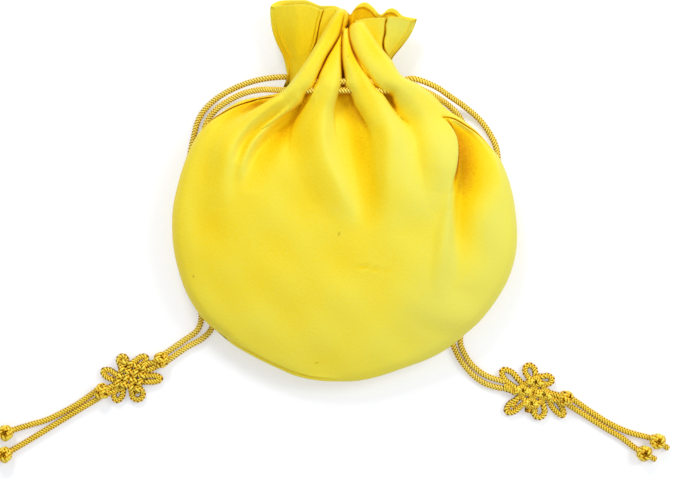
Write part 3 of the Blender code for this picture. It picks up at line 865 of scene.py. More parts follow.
def edge_distance(grid: Array, with_top: bool = True) -> Array:
    """How far each point of a grid is from the grid's own edge, seen from above. The edge is
    read at every fourth point, and the distance is 0 on the edge itself.

    Args:
        grid: rows by columns by x and y.
        with_top: counts the last row as an edge.

    Returns:
        One distance for each point, in metres.
    """
    edges = [grid[:0:-1, 0][::4], grid[0, :-1][::4], grid[:, -1][::4]]
    if with_top:
        edges.append(grid[-1, ::-4])
    _, distance, _ = near(grid.reshape(-1, 2), np.vstack(edges))
    distance = np.abs(distance).reshape(grid.shape[:2])
    distance[0] = 0
    distance[:, [0, -1]] = 0
    if with_top:
        distance[-1] = 0
    return distance.ravel()


@dataclass(frozen=True)
class Spread:
    """How a panel's grid is spread over its outline.

    The lower rows cover the outline's first marks, as many as lower_marks says, and stand the
    closer the lower they are, by row_power. crowd is how much closer the columns stand at both
    sides. bottom_bow and top_bow say how fast those two edges' bows die away inwards.
    """

    rows: int
    columns: int
    lower_rows: int
    lower_marks: int
    row_power: float
    crowd: float
    bottom_bow: float
    top_bow: float

    def ground(self, left: list, right: list, top: list) -> Array:
        """The grid seen from above, between the outline and the body's bottom.

        Args:
            left, right: the outline's two sides from the bottom up, in pixels.
            top: its upper edge from the left.

        Returns:
            Rows by columns by x and y.
        """
        last = len(left) - 1
        low = np.linspace(0, 1, self.lower_rows, endpoint=False) ** self.row_power
        high = np.linspace(self.lower_marks, last, self.rows - self.lower_rows)
        rows = np.concatenate([self.lower_marks * low, high]) / last
        return patch(plan(left), plan(right), plan(BODY_BOTTOM), plan(top), rows,
                     crowded(self.columns, self.crowd), self.bottom_bow, self.top_bow)


def cloth_piece(name: str, grid: Array, flipped: bool = False) -> bpy.types.Object:
    """Puts a sheet of cloth into the scene.

    Args:
        name: the piece's name.
        grid: rows by columns by x, y, z and tone.
        flipped: turns the faces over.

    Returns:
        The piece.
    """
    points = grid[..., :3].reshape(-1, 3)
    made = add_mesh(name, points, grid_faces(*grid.shape[:2], flipped=flipped), points[:, :2])
    mark(made, "tone", grid[..., 3].ravel())
    return made


# The front's slack: each wave's height and its lengths along x and y over 2 pi, in millimetres,
# and its phase
SLACK = ((0.16, 6.3, 9.1, 0.0), (0.13, 3.9, -5.2, 1.3), (0.10, 11.0, 3.1, 0.4),
         (0.08, 2.7, 3.4, 0.0))
# The means that the front's tone is read against, for painted shade in its hollows: how far
# each reaches, in points of the grid, and its share. Then how far up and down a depth in
# millimetres and a slope still count.
MEANS = ((6, 0.3), (14, 0.4), (28, 0.3))
DEPTH_LIMITS = (-0.5, 1.9)
LEAN_LIMITS = (-0.35, 0.45)
# How far the mean reaches, in points of the grid, that the lean is worked out on
LEAN_MEAN = 3
# From where the front's tone gets paler to the right and down, painted light, and over how
# far, and over how far the collar's way of deepening, painted shade, takes over first and
# last, all in millimetres
PALER_RIGHT = (-5, 70)
PALER_DOWN = (-20, 40)
COLLAR_OVER = (8, 12)


@dataclass
class FrontPanel:
    """The front panel: the body's puffed face, its folds, and the four ridges of the collar.

    The body rises from its rim by two quarter circles, as wide as the two reaches, and
    tight_share is the first one's part of the rise. ridge_fade, fold_fade and seam_fade say how
    far in from the rim these reach their full height.

    plain is the tone of level cloth on the left, and paler_right and paler_down are how much
    paler it goes, painted light. per_depth and per_lean say how much a millimetre below the
    cloth about it and a slope of 1 deepen it, painted shade in the hollows and on slopes that
    lean left, away from the key lamp, and collar_depth is what the collar adds to the first.
    They reach their full share tone_fade and lean_fade in from the rim. The collar starts at
    collar_from.
    """

    spread: Spread = Spread(318, 300, lower_rows=96, lower_marks=6, row_power=1.5, crowd=0.55,
                            bottom_bow=1.4, top_bow=7.0)
    tight_share: float = 0.27
    tight_reach: float = 3.6 * MM
    wide_reach: float = 34 * MM
    ridge_fade: float = 2.2 * MM
    fold_fade: float = 3 * MM
    seam_fade: float = 0.5 * MM
    plain: float = 0.53
    paler_right: float = 0.46
    paler_down: float = 0.2
    per_depth: float = 0.22
    collar_depth: float = 0.2
    per_lean: float = 0.62
    tone_fade: float = 9 * MM
    lean_fade: float = 20 * MM
    collar_from: float = 26 * MM

    def form(self, xy: Array, edge: Array) -> Array:
        """The smooth body without folds: from the rim it rises by a tight quarter circle and a
        wide one to a height that follows the pouch's length.

        Args:
            xy: points, as rows of x and y.
            edge: how far each one is from the outline.

        Returns:
            One height for each point.
        """
        crown, rim = level(CROWN, xy[:, 1]), level(RIM, xy[:, 1])
        rise = (self.tight_share * quarter(edge / self.tight_reach)
                + (1 - self.tight_share) * quarter(edge / self.wide_reach))
        return rim + np.maximum(crown - rim, 0) * rise

    def shape(self) -> tuple[Array, Array]:
        """The grid in space: the body, with the highest ridge at each point, the hollows, the
        low ridges and the slack, and then the overlaps and the seams. All but the seams fade
        out by the rim.

        Returns:
            Rows by columns by x, y and z, and the cloth's tone at each point.
        """
        grid = self.spread.ground(FRONT_LEFT, FRONT_RIGHT, FRONT_TOP)
        xy = grid.reshape(-1, 2)
        edge = edge_distance(grid)
        z = self.form(xy, edge)
        ridges = np.max([ridge.height(xy) for ridge in RIDGES], axis=0)
        z += ridges * quarter(edge / self.ridge_fade)
        settled = smooth(edge / self.fold_fade)
        z -= np.sum([hollow.height(xy) for hollow in HOLLOWS], axis=0) * settled
        z += np.sum([ridge.height(xy) for ridge in SOFT_RIDGES], axis=0) * settled
        z += self.slack(xy) * settled
        # The tone is painted light and shade, and the painted gold and the grooves deepen it
        # further
        tone = self.tone(grid, z.reshape(grid.shape[:2]), edge)
        tone += np.sum([gold.height(xy) for gold in PAINTED_GOLD], axis=0) / MM * settled
        moved = np.zeros_like(xy)
        for overlap in OVERLAPS:
            lift, sideways = overlap.shift(xy)
            z += lift * settled
            moved += sideways * settled[:, None]
        for seam in CREASES + RIM_SEAMS + SHOULDER_SEAMS:
            sunk, depth = seam.height(xy)
            z += sunk * smooth(edge / self.seam_fade)
            tone += seam.shade * depth
        points = np.column_stack([xy + moved, z])
        return points.reshape(*grid.shape[:2], 3), np.clip(tone, 0, 2)

    def tone(self, grid: Array, z: Array, edge: Array) -> Array:
        """How deep the cloth's yellow reads, with light and shade painted into it. It is paler
        towards the right and the bottom, painted light. It deepens with the depth below the mean
        of the heights about it, painted shade in the hollows, and where the body leans left,
        painted shade on the slopes turned away from the key lamp. The depth is taken from three
        means, each of a square run twice. The lean is the height's slope along x, worked out from
        the steps of x, y and z along the grid's rows and columns.

        Args:
            grid: rows by columns by x and y.
            z: the height at each point.
            edge: how far each one is from the outline.

        Returns:
            One tone for each point.
        """
        x, y = grid[..., 0] / MM, grid[..., 1] / MM
        right = smooth((x - PALER_RIGHT[0]) / PALER_RIGHT[1])
        down = smooth((PALER_DOWN[0] - y) / PALER_DOWN[1])
        broad = self.plain - self.paler_right * right - self.paler_down * down
        below = np.zeros_like(z)
        for reach, share in MEANS:
            mean = box_mean(box_mean(z, reach, 0), reach, 1)
            mean = box_mean(box_mean(mean, reach, 0), reach, 1)
            below += share * (mean - z) / MM
        soft = box_mean(box_mean(z, LEAN_MEAN, 0), LEAN_MEAN, 1) / MM
        over_rows = [np.gradient(part, axis=0) for part in (x, y, soft)]
        over_columns = [np.gradient(part, axis=1) for part in (x, y, soft)]
        turn = over_rows[0] * over_columns[1] - over_rows[1] * over_columns[0]
        rise = over_rows[2] * over_columns[1] - over_rows[1] * over_columns[2]
        lean = np.clip(rise / np.where(np.abs(turn) < 1e-6, np.inf, turn), *LEAN_LIMITS)
        edge = edge.reshape(x.shape)
        above = y - self.collar_from / MM
        inside = np.maximum(smooth(edge / self.tone_fade), smooth(above / COLLAR_OVER[0]))
        upper = smooth(above / COLLAR_OVER[1])
        within = smooth(edge / self.lean_fade)
        folded = ((self.per_depth + self.collar_depth * upper) * np.clip(below, *DEPTH_LIMITS)
                  + self.per_lean * lean * (1 - upper) * within)
        return (broad + folded * inside).ravel()

    @staticmethod
    def slack(xy: Array) -> Array:
        """Slow unevenness of the cloth: a few crossing waves, 16 to 40 mm long.

        Args:
            xy: points, as rows of x and y.

        Returns:
            One height for each point.
        """
        x, y = xy[:, 0] / MM, xy[:, 1] / MM
        return sum(height * np.sin(x / across + y / along + phase)
                   for height, across, along, phase in SLACK) * MM

    def build(self) -> bpy.types.Object:
        """Makes the panel's outer cloth.

        Returns:
            The piece.
        """
        points, tone = self.shape()
        faces = grid_faces(*points.shape[:2])
        uv = points[..., :2].reshape(-1, 2)
        made = add_mesh("front_panel_satin", points.reshape(-1, 3), faces, uv)
        mark(made, "slub", slub_mask(uv))
        mark(made, "tone", tone)
        return made


# The back panel's outline with its collar, in pixels
BACK_LEFT = BODY_LEFT + [(279, 94), (288, 77), (288.5, 68), (285, 58), (278, 43), (274, 31),
                         (271.5, 16), (271, 7.5)]
BACK_RIGHT = BODY_RIGHT + [(418, 85), (400, 76.5), (391, 64), (394, 57), (402, 47), (410, 35),
                           (414, 27), (416.5, 20.6)]
BACK_TOP = [(271, 7.5), (276, 4), (283, 2.2), (294, 1.8), (306, 2), (314, 5), (321, 7.5),
            (334, 8), (343, 11), (350, 16.5), (352.5, 13), (357, 7), (362, 4.2), (367, 4.6),
            (373, 9), (379, 16), (382.5, 15.5), (387, 11), (392, 9.8), (397, 12), (402, 17),
            (409, 19), (416.5, 20.6)]


# A hem's rolled edge: its radius, how many rows it has, and how far a shift of its sides reaches
HEM_RADIUS = 0.5 * MM
HEM_ROLL = 8
HEM_FADE = 8 * MM


def with_hem(grid: Array, side: int, lining: int = 9, inset: float = 0.0) -> Array:
    """Rolls a sheet's last row over: HEM_ROLL rows past it follow a half circle of HEM_RADIUS,
    and the next ones run back beside every third of the sheet's own rows.

    Args:
        grid: the sheet's rows of x, y, z and tone.
        side: 1 where the hem turns over on to the sheet's upper side, and -1 under it.
        lining: how many of the sheet's rows the turned cloth goes back beside.
        inset: how far in from the sheet's two sides the turned cloth's own sides stay, in
            metres. The shift dies away over HEM_FADE.

    Returns:
        The grid with the hem's rows added.
    """
    points = grid[..., :3]
    out = points[-1] - points[-4]
    out /= np.linalg.norm(out, axis=1)[:, None]
    up = np.array([0.0, 0.0, float(side)])
    roll = [points[-1] + out * HEM_RADIUS * math.sin(a) + up * HEM_RADIUS * (1 - math.cos(a))
            for a in np.linspace(0, np.pi, HEM_ROLL + 1)[1:]]
    back = []
    for k in range(4, lining + 1, 3):
        row = points[-k] + up * 2 * HEM_RADIUS
        for end, way in ((0, 1.0), (-1, -1.0)):
            beside = 1 - smooth(np.abs(row[:, 0] - row[end, 0]) / HEM_FADE)
            row = row + np.outer(beside, [way * inset, 0.0, 0.0])
        back.append(row)
    turned = np.array(roll + back)
    tones = np.tile(grid[-1, :, 3:], (len(turned), 1, 1))
    return np.concatenate([grid, np.dstack([turned, tones])])


# The back panel's height in its middle and how far in from its sides it turns up, both in
# millimetres at places of y
BACK_BASE = ((14, 22, 30, 36, 48, 56, 62, 66), (0.3, 1.0, 4.0, 6.2, 5.8, 6.4, 6.8, 7.6))
BACK_REACH = ((10, 30, 45, 66), (11, 8, 7, 7))
# The neck's y and its reach, and from which y the collar's walls rise and over how far
BACK_NECK = (36, 11)
BACK_COLLAR = (50, 10)
# The walls beside the collar's two loops, in millimetres: each one's height, x and width
COLLAR_WALLS = ((3.4, 2.6, 1.6), (3.0, 12.9, 1.3))
# The low swell left of them: its height, and where it starts at the right and at the left with
# how far it takes to rise
SWELL_HEIGHT = 1.6
SWELL_RIGHT = (-1.0, 3.0)
SWELL_LEFT = (-12.0, 9.0)


@dataclass
class BackPanel:
    """The back panel: it lies on the floor, turns up to the rim, and opens out as the collar's
    back, whose hem waves over the two loops at the right.

    lining is how many rows the turned cloth goes back, and lining_inset how far in it stays.
    The neck's folds are fold_height high, and repeat every 2 pi / fold_turn millimetres. The
    tones are the lower and the upper cloth's, which meet at upper_from, the lining's in its
    middle, what its sides add over side_columns and more, painted shade inside the mouth's
    ends, and the line's where it starts, a painted shadow under the hem's fold.
    """

    spread: Spread = Spread(260, 220, lower_rows=100, lower_marks=9, row_power=1.4, crowd=0.5,
                            bottom_bow=1.4, top_bow=5.0)
    lining: int = 61
    lining_inset: float = 1.6 * MM
    fold_height: float = 1.1
    fold_turn: float = 0.42
    fade: float = 4 * MM
    lowest: float = 0.05 * MM
    upper_from: float = 62 * MM
    side_columns: int = 30
    lower_tone: float = 0.5
    upper_tone: float = 0.45
    lining_tone: float = 0.45
    sides_add: float = 0.65
    start_tone: float = 1.6

    def shape(self) -> Array:
        """The grid in space: the floor's height in the middle, a quarter circle up to the rim,
        a lifted neck with cosine folds, and in the collar bell-shaped walls beside its loops
        and a low swell left of them.

        Returns:
            Rows by columns by x, y, z and tone.
        """
        grid = self.spread.ground(BACK_LEFT, BACK_RIGHT, BACK_TOP)
        xy = grid.reshape(-1, 2)
        edge = edge_distance(grid, with_top=False)
        x, y = xy[:, 0] / MM, xy[:, 1] / MM
        rim = level(RIM, xy[:, 1])
        base = np.interp(y, *BACK_BASE) * MM
        reach = np.interp(y, *BACK_REACH) * MM
        z = rim - (rim - base) * quarter(edge / reach)
        neck = np.exp(-((y - BACK_NECK[0]) / BACK_NECK[1]) ** 2)
        folds = np.cos((x + 1) * self.fold_turn) * self.fold_height * neck
        collar = smooth((y - BACK_COLLAR[0]) / BACK_COLLAR[1])
        walls = sum(height * np.exp(-((x - middle) / width) ** 2)
                    for height, middle, width in COLLAR_WALLS)
        walls = walls + (SWELL_HEIGHT * smooth((SWELL_RIGHT[0] - x) / SWELL_RIGHT[1])
                         * smooth((x - SWELL_LEFT[0]) / SWELL_LEFT[1]))
        z += (folds + walls * collar) * MM * smooth(edge / self.fade)
        tone = np.where(xy[:, 1] > self.upper_from, self.upper_tone, self.lower_tone)
        shaped = np.column_stack([xy, np.maximum(z, self.lowest), tone])
        return shaped.reshape(*grid.shape[:2], 4)

    def build(self) -> bpy.types.Object:
        """Makes the panel's cloth, with the collar's lining painted deeper gold towards its sides
        and a darker line where it starts, both painted shade.

        Returns:
            The piece.
        """
        grid = with_hem(self.shape(), 1, self.lining, inset=self.lining_inset)
        column = np.arange(self.spread.columns)
        side = smooth(np.minimum(column, column[::-1]) / self.side_columns - 0.3)
        start = self.spread.rows + HEM_ROLL + 1
        grid[start, :, 3] = self.start_tone
        grid[start + 1:, :, 3] = self.lining_tone + self.sides_add * side
        return cloth_piece("back_panel_satin", grid, flipped=True)


@dataclass
class CollarFlap:
    """A front flap of the collar: a crowned sheet from the side seam in under a ridge, with a
    rolled hem at the mouth and its seams and creases.

    The edges are in pixels, left and right from the bottom up and the others from the left. The
    heights of both sides and of the arch between them are in millimetres. tone is the cloth's
    and hem_tone the mouth's, levels of painted light and shade. bands is how far the tone
    swings, swings times up the flap, and pale_sides how much paler it is at both sides, painted
    light, up to side_share of the width in. deeper is how much deeper it is up to deeper_to of
    the width, painted shade, and it fades over deeper_fade. The grid is spread as a panel's.
    """

    name: str
    left: list
    right: list
    bottom: list
    top: list
    left_height: float
    right_height: float
    crown: float
    seams: tuple
    tone: float
    hem_tone: float = 0.45
    deeper: float = 0.0
    waves: tuple = ()
    bands: float = 0.12
    swings: float = 1.1
    pale_sides: float = 0.3
    side_share: float = 0.05
    deeper_to: float = 0.3
    deeper_fade: float = 0.25
    rows: int = 150
    columns: int = 140
    crowd: float = 0.3
    bottom_bow: float = 2.0
    top_bow: float = 3.0

    def shape(self) -> Array:
        """The grid in space with its tone: a straight slope from side to side, an arch
        sin(pi u) over it, the waves, the seams, and a hem that turns under at the mouth.

        Returns:
            Rows by columns by x, y, z and tone.
        """
        rows, columns = np.linspace(0, 1, self.rows), crowded(self.columns, self.crowd)
        grid = patch(plan(self.left), plan(self.right), plan(self.bottom), plan(self.top), rows,
                     columns, self.bottom_bow, self.top_bow)
        xy = grid.reshape(-1, 2)
        u = np.tile(columns, self.rows)
        v = np.repeat(rows, self.columns)
        z = (self.left_height + (self.right_height - self.left_height) * u
             + self.crown * np.sin(np.pi * np.clip(u, 0, 1))) * MM
        for wave in self.waves:
            z += wave.height(xy)
        tone = (self.tone - self.bands * np.cos(2 * self.swings * np.pi * v)
                - self.pale_sides * (1 - smooth(np.minimum(u, 1 - u) / self.side_share))
                + self.deeper * (1 - smooth((u - self.deeper_to) / self.deeper_fade)))
        for seam in self.seams:
            sunk, depth = seam.height(xy)
            z += sunk
            tone += seam.shade * depth
        z, tone = z.reshape(self.rows, self.columns), tone.reshape(self.rows, self.columns)
        tone[-3:] = self.hem_tone
        return with_hem(np.dstack([grid, z, np.clip(tone, 0, 2)]), -1)

    def build(self) -> bpy.types.Object:
        """Makes the flap."""
        return cloth_piece(self.name, self.shape())


LEFT_FLAP = CollarFlap(
    "collar_left_flap",
    left=[(289, 84), (286.8, 73), (283.3, 58), (276.4, 43), (272.4, 31), (270.5, 17),
          (270.3, 9.2)],
    right=[(310, 90), (318, 72), (324, 58), (331, 43), (336, 31), (340, 20), (343, 14)],
    bottom=[(289, 84), (300, 88), (310, 90)],
    top=[(270.3, 9.2), (279, 8.2), (290, 7.8), (306, 8), (315, 10.5), (321, 13.2), (326, 12.2),
         (334, 11), (343, 14)],
    left_height=8.6, right_height=11.5, crown=3.5,
    seams=(Groove(((323.5, 13, 0.7), (320, 25, 0.8), (317.5, 38, 0.8), (316, 45, 0.8),
                   (312, 54, 0.6), (304, 68, 0.3)), width=0.24 * MM, welt=0.5),
           Groove(((319.5, 14, 0.3), (316.5, 25, 0.4), (314, 38, 0.4), (312.5, 46, 0.3),
                   (309, 55, 0.2)), width=0.2 * MM, welt=0.3)),
    # Painted shade: the left flap's cloth is painted deeper gold than the right one's
    tone=0.72,
    waves=(Fold(((298, 6, 13, 12, 0.5, 0), (297, 30, 12, 10, 0.6, 0), (297, 56, 8, 8, 0.3, 0))),),
)
RIGHT_FLAP = CollarFlap(
    "collar_right_flap",
    left=[(384, 84), (378, 72), (370, 58), (362, 46), (357, 36), (354, 28), (355, 23)],
    right=[(397, 80), (392, 66), (393, 58), (402, 47), (410, 36), (414, 28), (416.3, 21.5)],
    bottom=[(384, 84), (391, 83), (397, 80)],
    top=[(355, 23), (362, 22), (369, 21.2), (378, 21), (384.5, 21), (389, 19.8), (396, 19.8),
         (403, 20.2), (409, 21.8), (416.3, 21.5)],
    left_height=10.8, right_height=8.6, crown=3.2,
    seams=(Groove(((385.5, 17, 1.2), (385.9, 22, 1.6), (384.8, 27, 1.1), (384.6, 35, 1.6),
                   (383.2, 41, 1.2), (382.8, 47, 1.6), (384.4, 53, 1.4), (391, 63, 0.8)),
                  width=0.36 * MM, welt=0.3),),
    # Painted light: the right flap's cloth is painted paler, with painted shade at its left part
    tone=0.24,
    deeper=0.42,
)


@dataclass(frozen=True)
class Braid:
    """A round braid of strands that wind both ways, each over two and under two.

    strands is how many wind each way, and pitch is how far apart the crossings stand along it.
    relief is how deep the gaps are, and a smaller bulge makes a strand's section fuller. mean
    is the height that the diameter is measured at, and low a strand's height where it passes
    under. A larger cross makes it go over and under more steeply. sides is how many points go
    round the cord, step how far apart they are along it, and taper how far from its ends it is
    rounded off, in diameters. The last field is how much deeper the silk's colour is painted at
    the cord's two sides: painted shade where it lies against the next pass.
    """

    diameter: float = 1.84 * MM
    strands: int = 4
    pitch: float = 1.0 * MM
    relief: float = 0.44 * MM
    sides: int = 36
    step: float = 0.16 * MM
    bulge: float = 0.6
    mean: float = 0.6
    low: float = 0.15
    cross: float = 0.8
    taper: float = 0.35
    side_shade: float = 0.3

    def height(self, around: Array, along: Array) -> Array:
        """The relief from 0 to 1. Counted in strands, one family lies at a = N around + along /
        pitch and the other at b = N around - along / pitch. A strand's crown is
        |sin(pi a)| ^ bulge, and along its length it rises and sinks as cos(pi / 2 (b + its
        number)), so that it passes over two strands of the other family and under two.

        Args:
            around: places round the cord, from 0 to 1.
            along: distances along it, in metres.

        Returns:
            One height for each pair of them.
        """
        a = self.strands * around + along / self.pitch
        b = self.strands * around - along / self.pitch
        i, j = np.floor(a), np.floor(b)
        over = smooth(0.5 + self.cross * np.cos(np.pi / 2 * (b + i - 1)))
        under = smooth(0.5 - self.cross * np.cos(np.pi / 2 * (a + j - 1)))
        first = np.abs(np.sin(np.pi * a)) ** self.bulge * (self.low + (1 - self.low) * over)
        second = np.abs(np.sin(np.pi * b)) ** self.bulge * (self.low + (1 - self.low) * under)
        return np.maximum(first, second)

    def sweep(self, path: Array, up: Array | None = None) -> tuple[Array, Array, Array, Array]:
        """The braid along a path. Its ends are closed by a quarter circle.

        Args:
            path: its centreline, as even steps.
            up: a direction for each point that is never along the path; +Z by default.

        Returns:
            Its points, faces, uv in metres along and around, and the relief at each point.
        """
        tangent = np.gradient(path, axis=0)
        tangent /= np.linalg.norm(tangent, axis=1)[:, None]
        if up is None:
            up = np.tile([0.0, 0.0, 1.0], (len(path), 1))
        side = np.cross(tangent, up)
        side /= np.maximum(np.linalg.norm(side, axis=1), 1e-6)[:, None]
        rise = np.cross(side, tangent)
        steps = np.linalg.norm(np.diff(path, axis=0), axis=1)
        along = np.concatenate([[0], np.cumsum(steps)])
        around = np.arange(self.sides) / self.sides
        grown = self.height(around[None, :], along[:, None])
        radius = self.diameter / 2 + self.relief * (grown - self.mean)
        end = np.minimum(along, along[-1] - along) / (self.diameter * self.taper)
        radius = radius * (0.02 + 0.98 * quarter(end))[:, None]
        angle = 2 * np.pi * around
        points = (path[:, None] + radius[..., None]
                  * (np.cos(angle)[None, :, None] * side[:, None]
                     + np.sin(angle)[None, :, None] * rise[:, None]))
        faces = grid_faces(len(path), self.sides, wrapped=True, flipped=True)
        u = np.repeat(along, self.sides)
        v = np.tile(around * np.pi * self.diameter, len(path))
        # Painted shade at the cord's two sides: the value that picks its colour drops there
        crown = grown * (1 - self.side_shade * np.cos(angle) ** 4)[None, :]
        return points.reshape(-1, 3), faces, np.column_stack([u, v]), crown.ravel()


def tied(name: str, sweeps: list[tuple[Array, Array, Array, Array]]) -> bpy.types.Object:
    """One object from several swept braids, with their relief as the attribute crown.

    Args:
        name: the piece's name.
        sweeps: what Braid.sweep gives for each.

    Returns:
        The piece.
    """
    points, faces, uv = joined([sweep[:3] for sweep in sweeps])
    made = add_mesh(name, points, faces, uv)
    mark(made, "crown", np.concatenate([sweep[3] for sweep in sweeps]))
    return made


# Where the drawcords run, in millimetres: from the knot beside the body up its side, through the
# neck above and below the cloth, and back. F is the height of a cord that lies on the floor.
F = FLOOR
LEFT_ROUTE = [
    (-62.8, -59.4, 2.2), (-61.25, -58.62, 1.5), (-55.4, -54.5, F), (-49.7, -51.3, F),
    (-46.4, -47.4, F), (-47.2, -42.4, F), (-50.6, -34.5, F), (-53.2, -25.0, F),
    (-54.2, -14.0, F), (-53.4, -3.0, F), (-51.6, 7.0, F), (-50.2, 15.5, F),
    (-49.2, 21.6, F), (-47.2, 26.0, 1.9), (-43.0, 30.1, 3.4),
    (-36.2, 33.6, 6.2), (-29.6, 35.0, 9.2), (-24.0, 34.8, 12.2), (-18.6, 34.2, 16.4),
    (-12.5, 34.0, 18.4), (-4.0, 34.0, 18.6), (5.0, 34.0, 18.6), (12.5, 34.0, 18.0),
    (17.2, 34.4, 15.6), (18.8, 35.8, 11.4), (17.6, 38.2, 8.0), (12.5, 39.5, 4.8),
    (4.5, 39.6, 3.9), (-4.0, 39.6, 3.9), (-11.5, 39.6, 4.1), (-17.0, 39.8, 6.0),
    (-22.0, 39.6, 8.0), (-27.5, 39.0, 8.0), (-33.6, 37.7, 6.2), (-39.6, 35.4, 4.4),
    (-44.6, 32.6, 2.6), (-48.6, 29.1, 1.5), (-51.4, 24.6, F), (-53.0, 18.4, F), (-54.4, 11.5, F),
    (-55.6, 4.0, F), (-57.0, -6.0, F), (-57.2, -17.0, F), (-55.8, -28.0, F), (-53.0, -36.6, F),
    (-50.2, -42.6, F), (-51.4, -48.2, F), (-56.6, -52.3, F), (-62.42, -56.41, 1.5),
    (-63.6, -57.6, 2.2),
]
RIGHT_ROUTE = [
    (55.74, -68.92, F), (50.0, -67.4, F), (45.6, -64.6, F), (41.9, -60.6, F), (39.2, -56.2, F),
    (37.6, -50.6, F),
    (40.4, -44.4, F), (45.4, -37.2, F), (50.0, -28.4, F), (52.4, -18.0, F), (52.0, -7.0, F),
    (49.0, 3.5, F), (45.4, 12.8, F), (42.6, 20.4, F), (40.4, 25.9, 2.4), (36.2, 30.1, 4.6),
    (31.4, 33.0, 7.4), (26.2, 35.2, 10.8), (20.6, 36.7, 15.0), (15.6, 37.1, 17.4),
    (10.0, 37.1, 18.1), (3.0, 37.1, 18.1), (-5.0, 37.1, 18.0), (-11.6, 37.1, 17.2),
    (-15.8, 37.1, 14.6), (-17.2, 37.0, 10.6), (-15.4, 36.6, 6.2), (-10.9, 36.2, 4.2),
    (-3.5, 36.1, 3.9), (4.5, 36.1, 3.9), (11.5, 36.1, 3.9), (16.3, 36.4, 4.0), (20.6, 38.6, 6.0),
    (24.6, 38.9, 8.0), (31.4, 36.4, 7.6), (36.6, 33.2, 5.6), (42.0, 29.7, 3.2), (47.2, 25.4, 1.6),
    (50.8, 20.6, F), (53.2, 15.4, F), (54.2, 8.0, F), (55.8, -1.0, F), (57.0, -12.0, F),
    (56.2, -23.0, F), (52.6, -33.0, F), (46.6, -41.6, F), (41.6, -47.8, F), (40.6, -52.6, F),
    (42.2, -57.0, F), (45.0, -60.9, F), (49.8, -64.4, F), (56.26, -66.47, F),
]
# The upper and lower tail on each side, from the last button knot through the stopper knot
LEFT_TAILS = (
    ((-86.2, -69.6, 2.4), (-87.52, -70.14, 1.6), (-94.0, -74.6, F), (-103.2, -79.4, F),
     (-109.6, -81.4, F), (-115.2, -83.1, F), (-118.1, -84.1, 1.6), (-122.6, -85.9, F)),
    ((-85.1, -71.2, 2.4), (-86.07, -72.18, 1.6), (-93.0, -76.3, F), (-103.6, -82.8, F),
     (-110.2, -86.8, F), (-115.8, -90.1, F), (-118.5, -91.65, 1.6), (-122.7, -94.1, F)),
)
RIGHT_TAILS = (
    ((78.7, -72.1, 2.4), (80.14, -72.65, 1.6), (86.2, -76.9, F), (93.1, -81.2, F),
     (99.6, -84.1, F), (106.2, -85.9, F), (109.2, -87.0, 1.6), (113.7, -90.0, F)),
    ((77.6, -73.6, 2.4), (78.70, -74.70, 1.6), (84.9, -78.6, F), (91.6, -82.8, F),
     (97.0, -86.0, F), (101.6, -89.5, F), (104.5, -91.2, 1.6), (109.3, -93.9, F)),
)
# How much deeper the silk's colour is painted at a cord's sides inside a knot: painted shade
KNOT_SIDE_SHADE = 0.5


@dataclass(frozen=True)
class BallKnot:
    """A round knot: the cord goes leads times round a small ball and swings to and fro across
    it bights times, over and under itself by turns.

    place is its middle's x and y and middle its height, in millimetres. heading is the way the
    cord runs on. size and cord are the knot's and the cord's diameters, swing is in degrees,
    weave is how far the cord goes over and under, squash how long the ball is along its heading
    for a width of 1, and core the diameter of the cord inside. bight_steps is how many steps of
    the path a bight has, and turn moves the start round, in radians.
    """

    name: str
    place: tuple
    heading: tuple
    middle: float = 3.0
    leads: int = 3
    bights: int = 4
    size: float = 6.0 * MM
    cord: float = 1.9 * MM
    swing: float = 60.0
    weave: float = 0.25 * MM
    turn: float = 0.0
    squash: float = 0.92
    core: float = 1.9 * MM
    bight_steps: int = 46

    def stance(self) -> tuple[Array, Array]:
        """The knot's middle in metres, and its unit heading."""
        axis = np.array([*self.heading, 0.0]) / np.hypot(*self.heading)
        return np.array([*self.place, self.middle]) * MM, axis

    def sweep(self) -> tuple[Array, Array, Array, Array]:
        """Its braid. At t from 0 to 2 pi and a little beyond, the longitude is leads t, the
        latitude is swing sin(bights t), and the distance from the middle swells by
        weave sin(crossings t).

        Returns:
            What Braid.sweep gives.
        """
        t = np.linspace(-0.02, 1.02, self.bight_steps * self.bights + 1) * 2 * np.pi
        around = self.leads * t + self.turn
        latitude = math.radians(self.swing) * np.sin(self.bights * t)
        crossings = (self.leads - 1) * self.bights
        radius = (self.size - self.cord) / 2 - self.weave + self.weave * np.sin(crossings * t)
        centre, axis = self.stance()
        across = np.array([-axis[1], axis[0], 0.0])
        up = np.array([0.0, 0.0, 1.0])
        out = (np.cos(latitude)[:, None] * (np.cos(around)[:, None] * across
                                            + np.sin(around)[:, None] * up)
               + self.squash * np.sin(latitude)[:, None] * axis)
        path = centre + out * radius[:, None]
        return Braid(diameter=self.cord, sides=24, side_shade=KNOT_SIDE_SHADE).sweep(path, out)

    def build(self) -> bpy.types.Object:
        """Makes the knot, round a core of the same braid pulled through its middle.

        Returns:
            The piece.
        """
        centre, axis = self.stance()
        reach = np.linspace(-0.5, 0.5, 20)[:, None] * self.size
        core = Braid(diameter=self.core, sides=22).sweep(centre + axis * reach)
        return tied(self.name, [self.sweep(), core])


@dataclass(frozen=True)
class Loop:
    """A petal of a flower knot: from one strand's end round by a tip and back into the next.

    tip is a pixel of the photograph on the petal's outer edge, and width is half the petal's
    width at its fullest, in millimetres.
    """

    tip: tuple
    width: float


# A petal's marks up each side: the share of its length, the share of its width, the least that
# gives, and the height above its tip. Millimetres, like all the lengths of a flower knot.
PETAL_MARKS = ((0.34, 0.86, 1.1, 0.5), (0.66, 1.0, 0.0, 0.1), (0.93, 0.55, 0.0, 0.0))
# From a petal's outer edge to the middle of its cord, and that middle's height
PETAL_EDGE = 1.05
PETAL_HEIGHT = 1.25
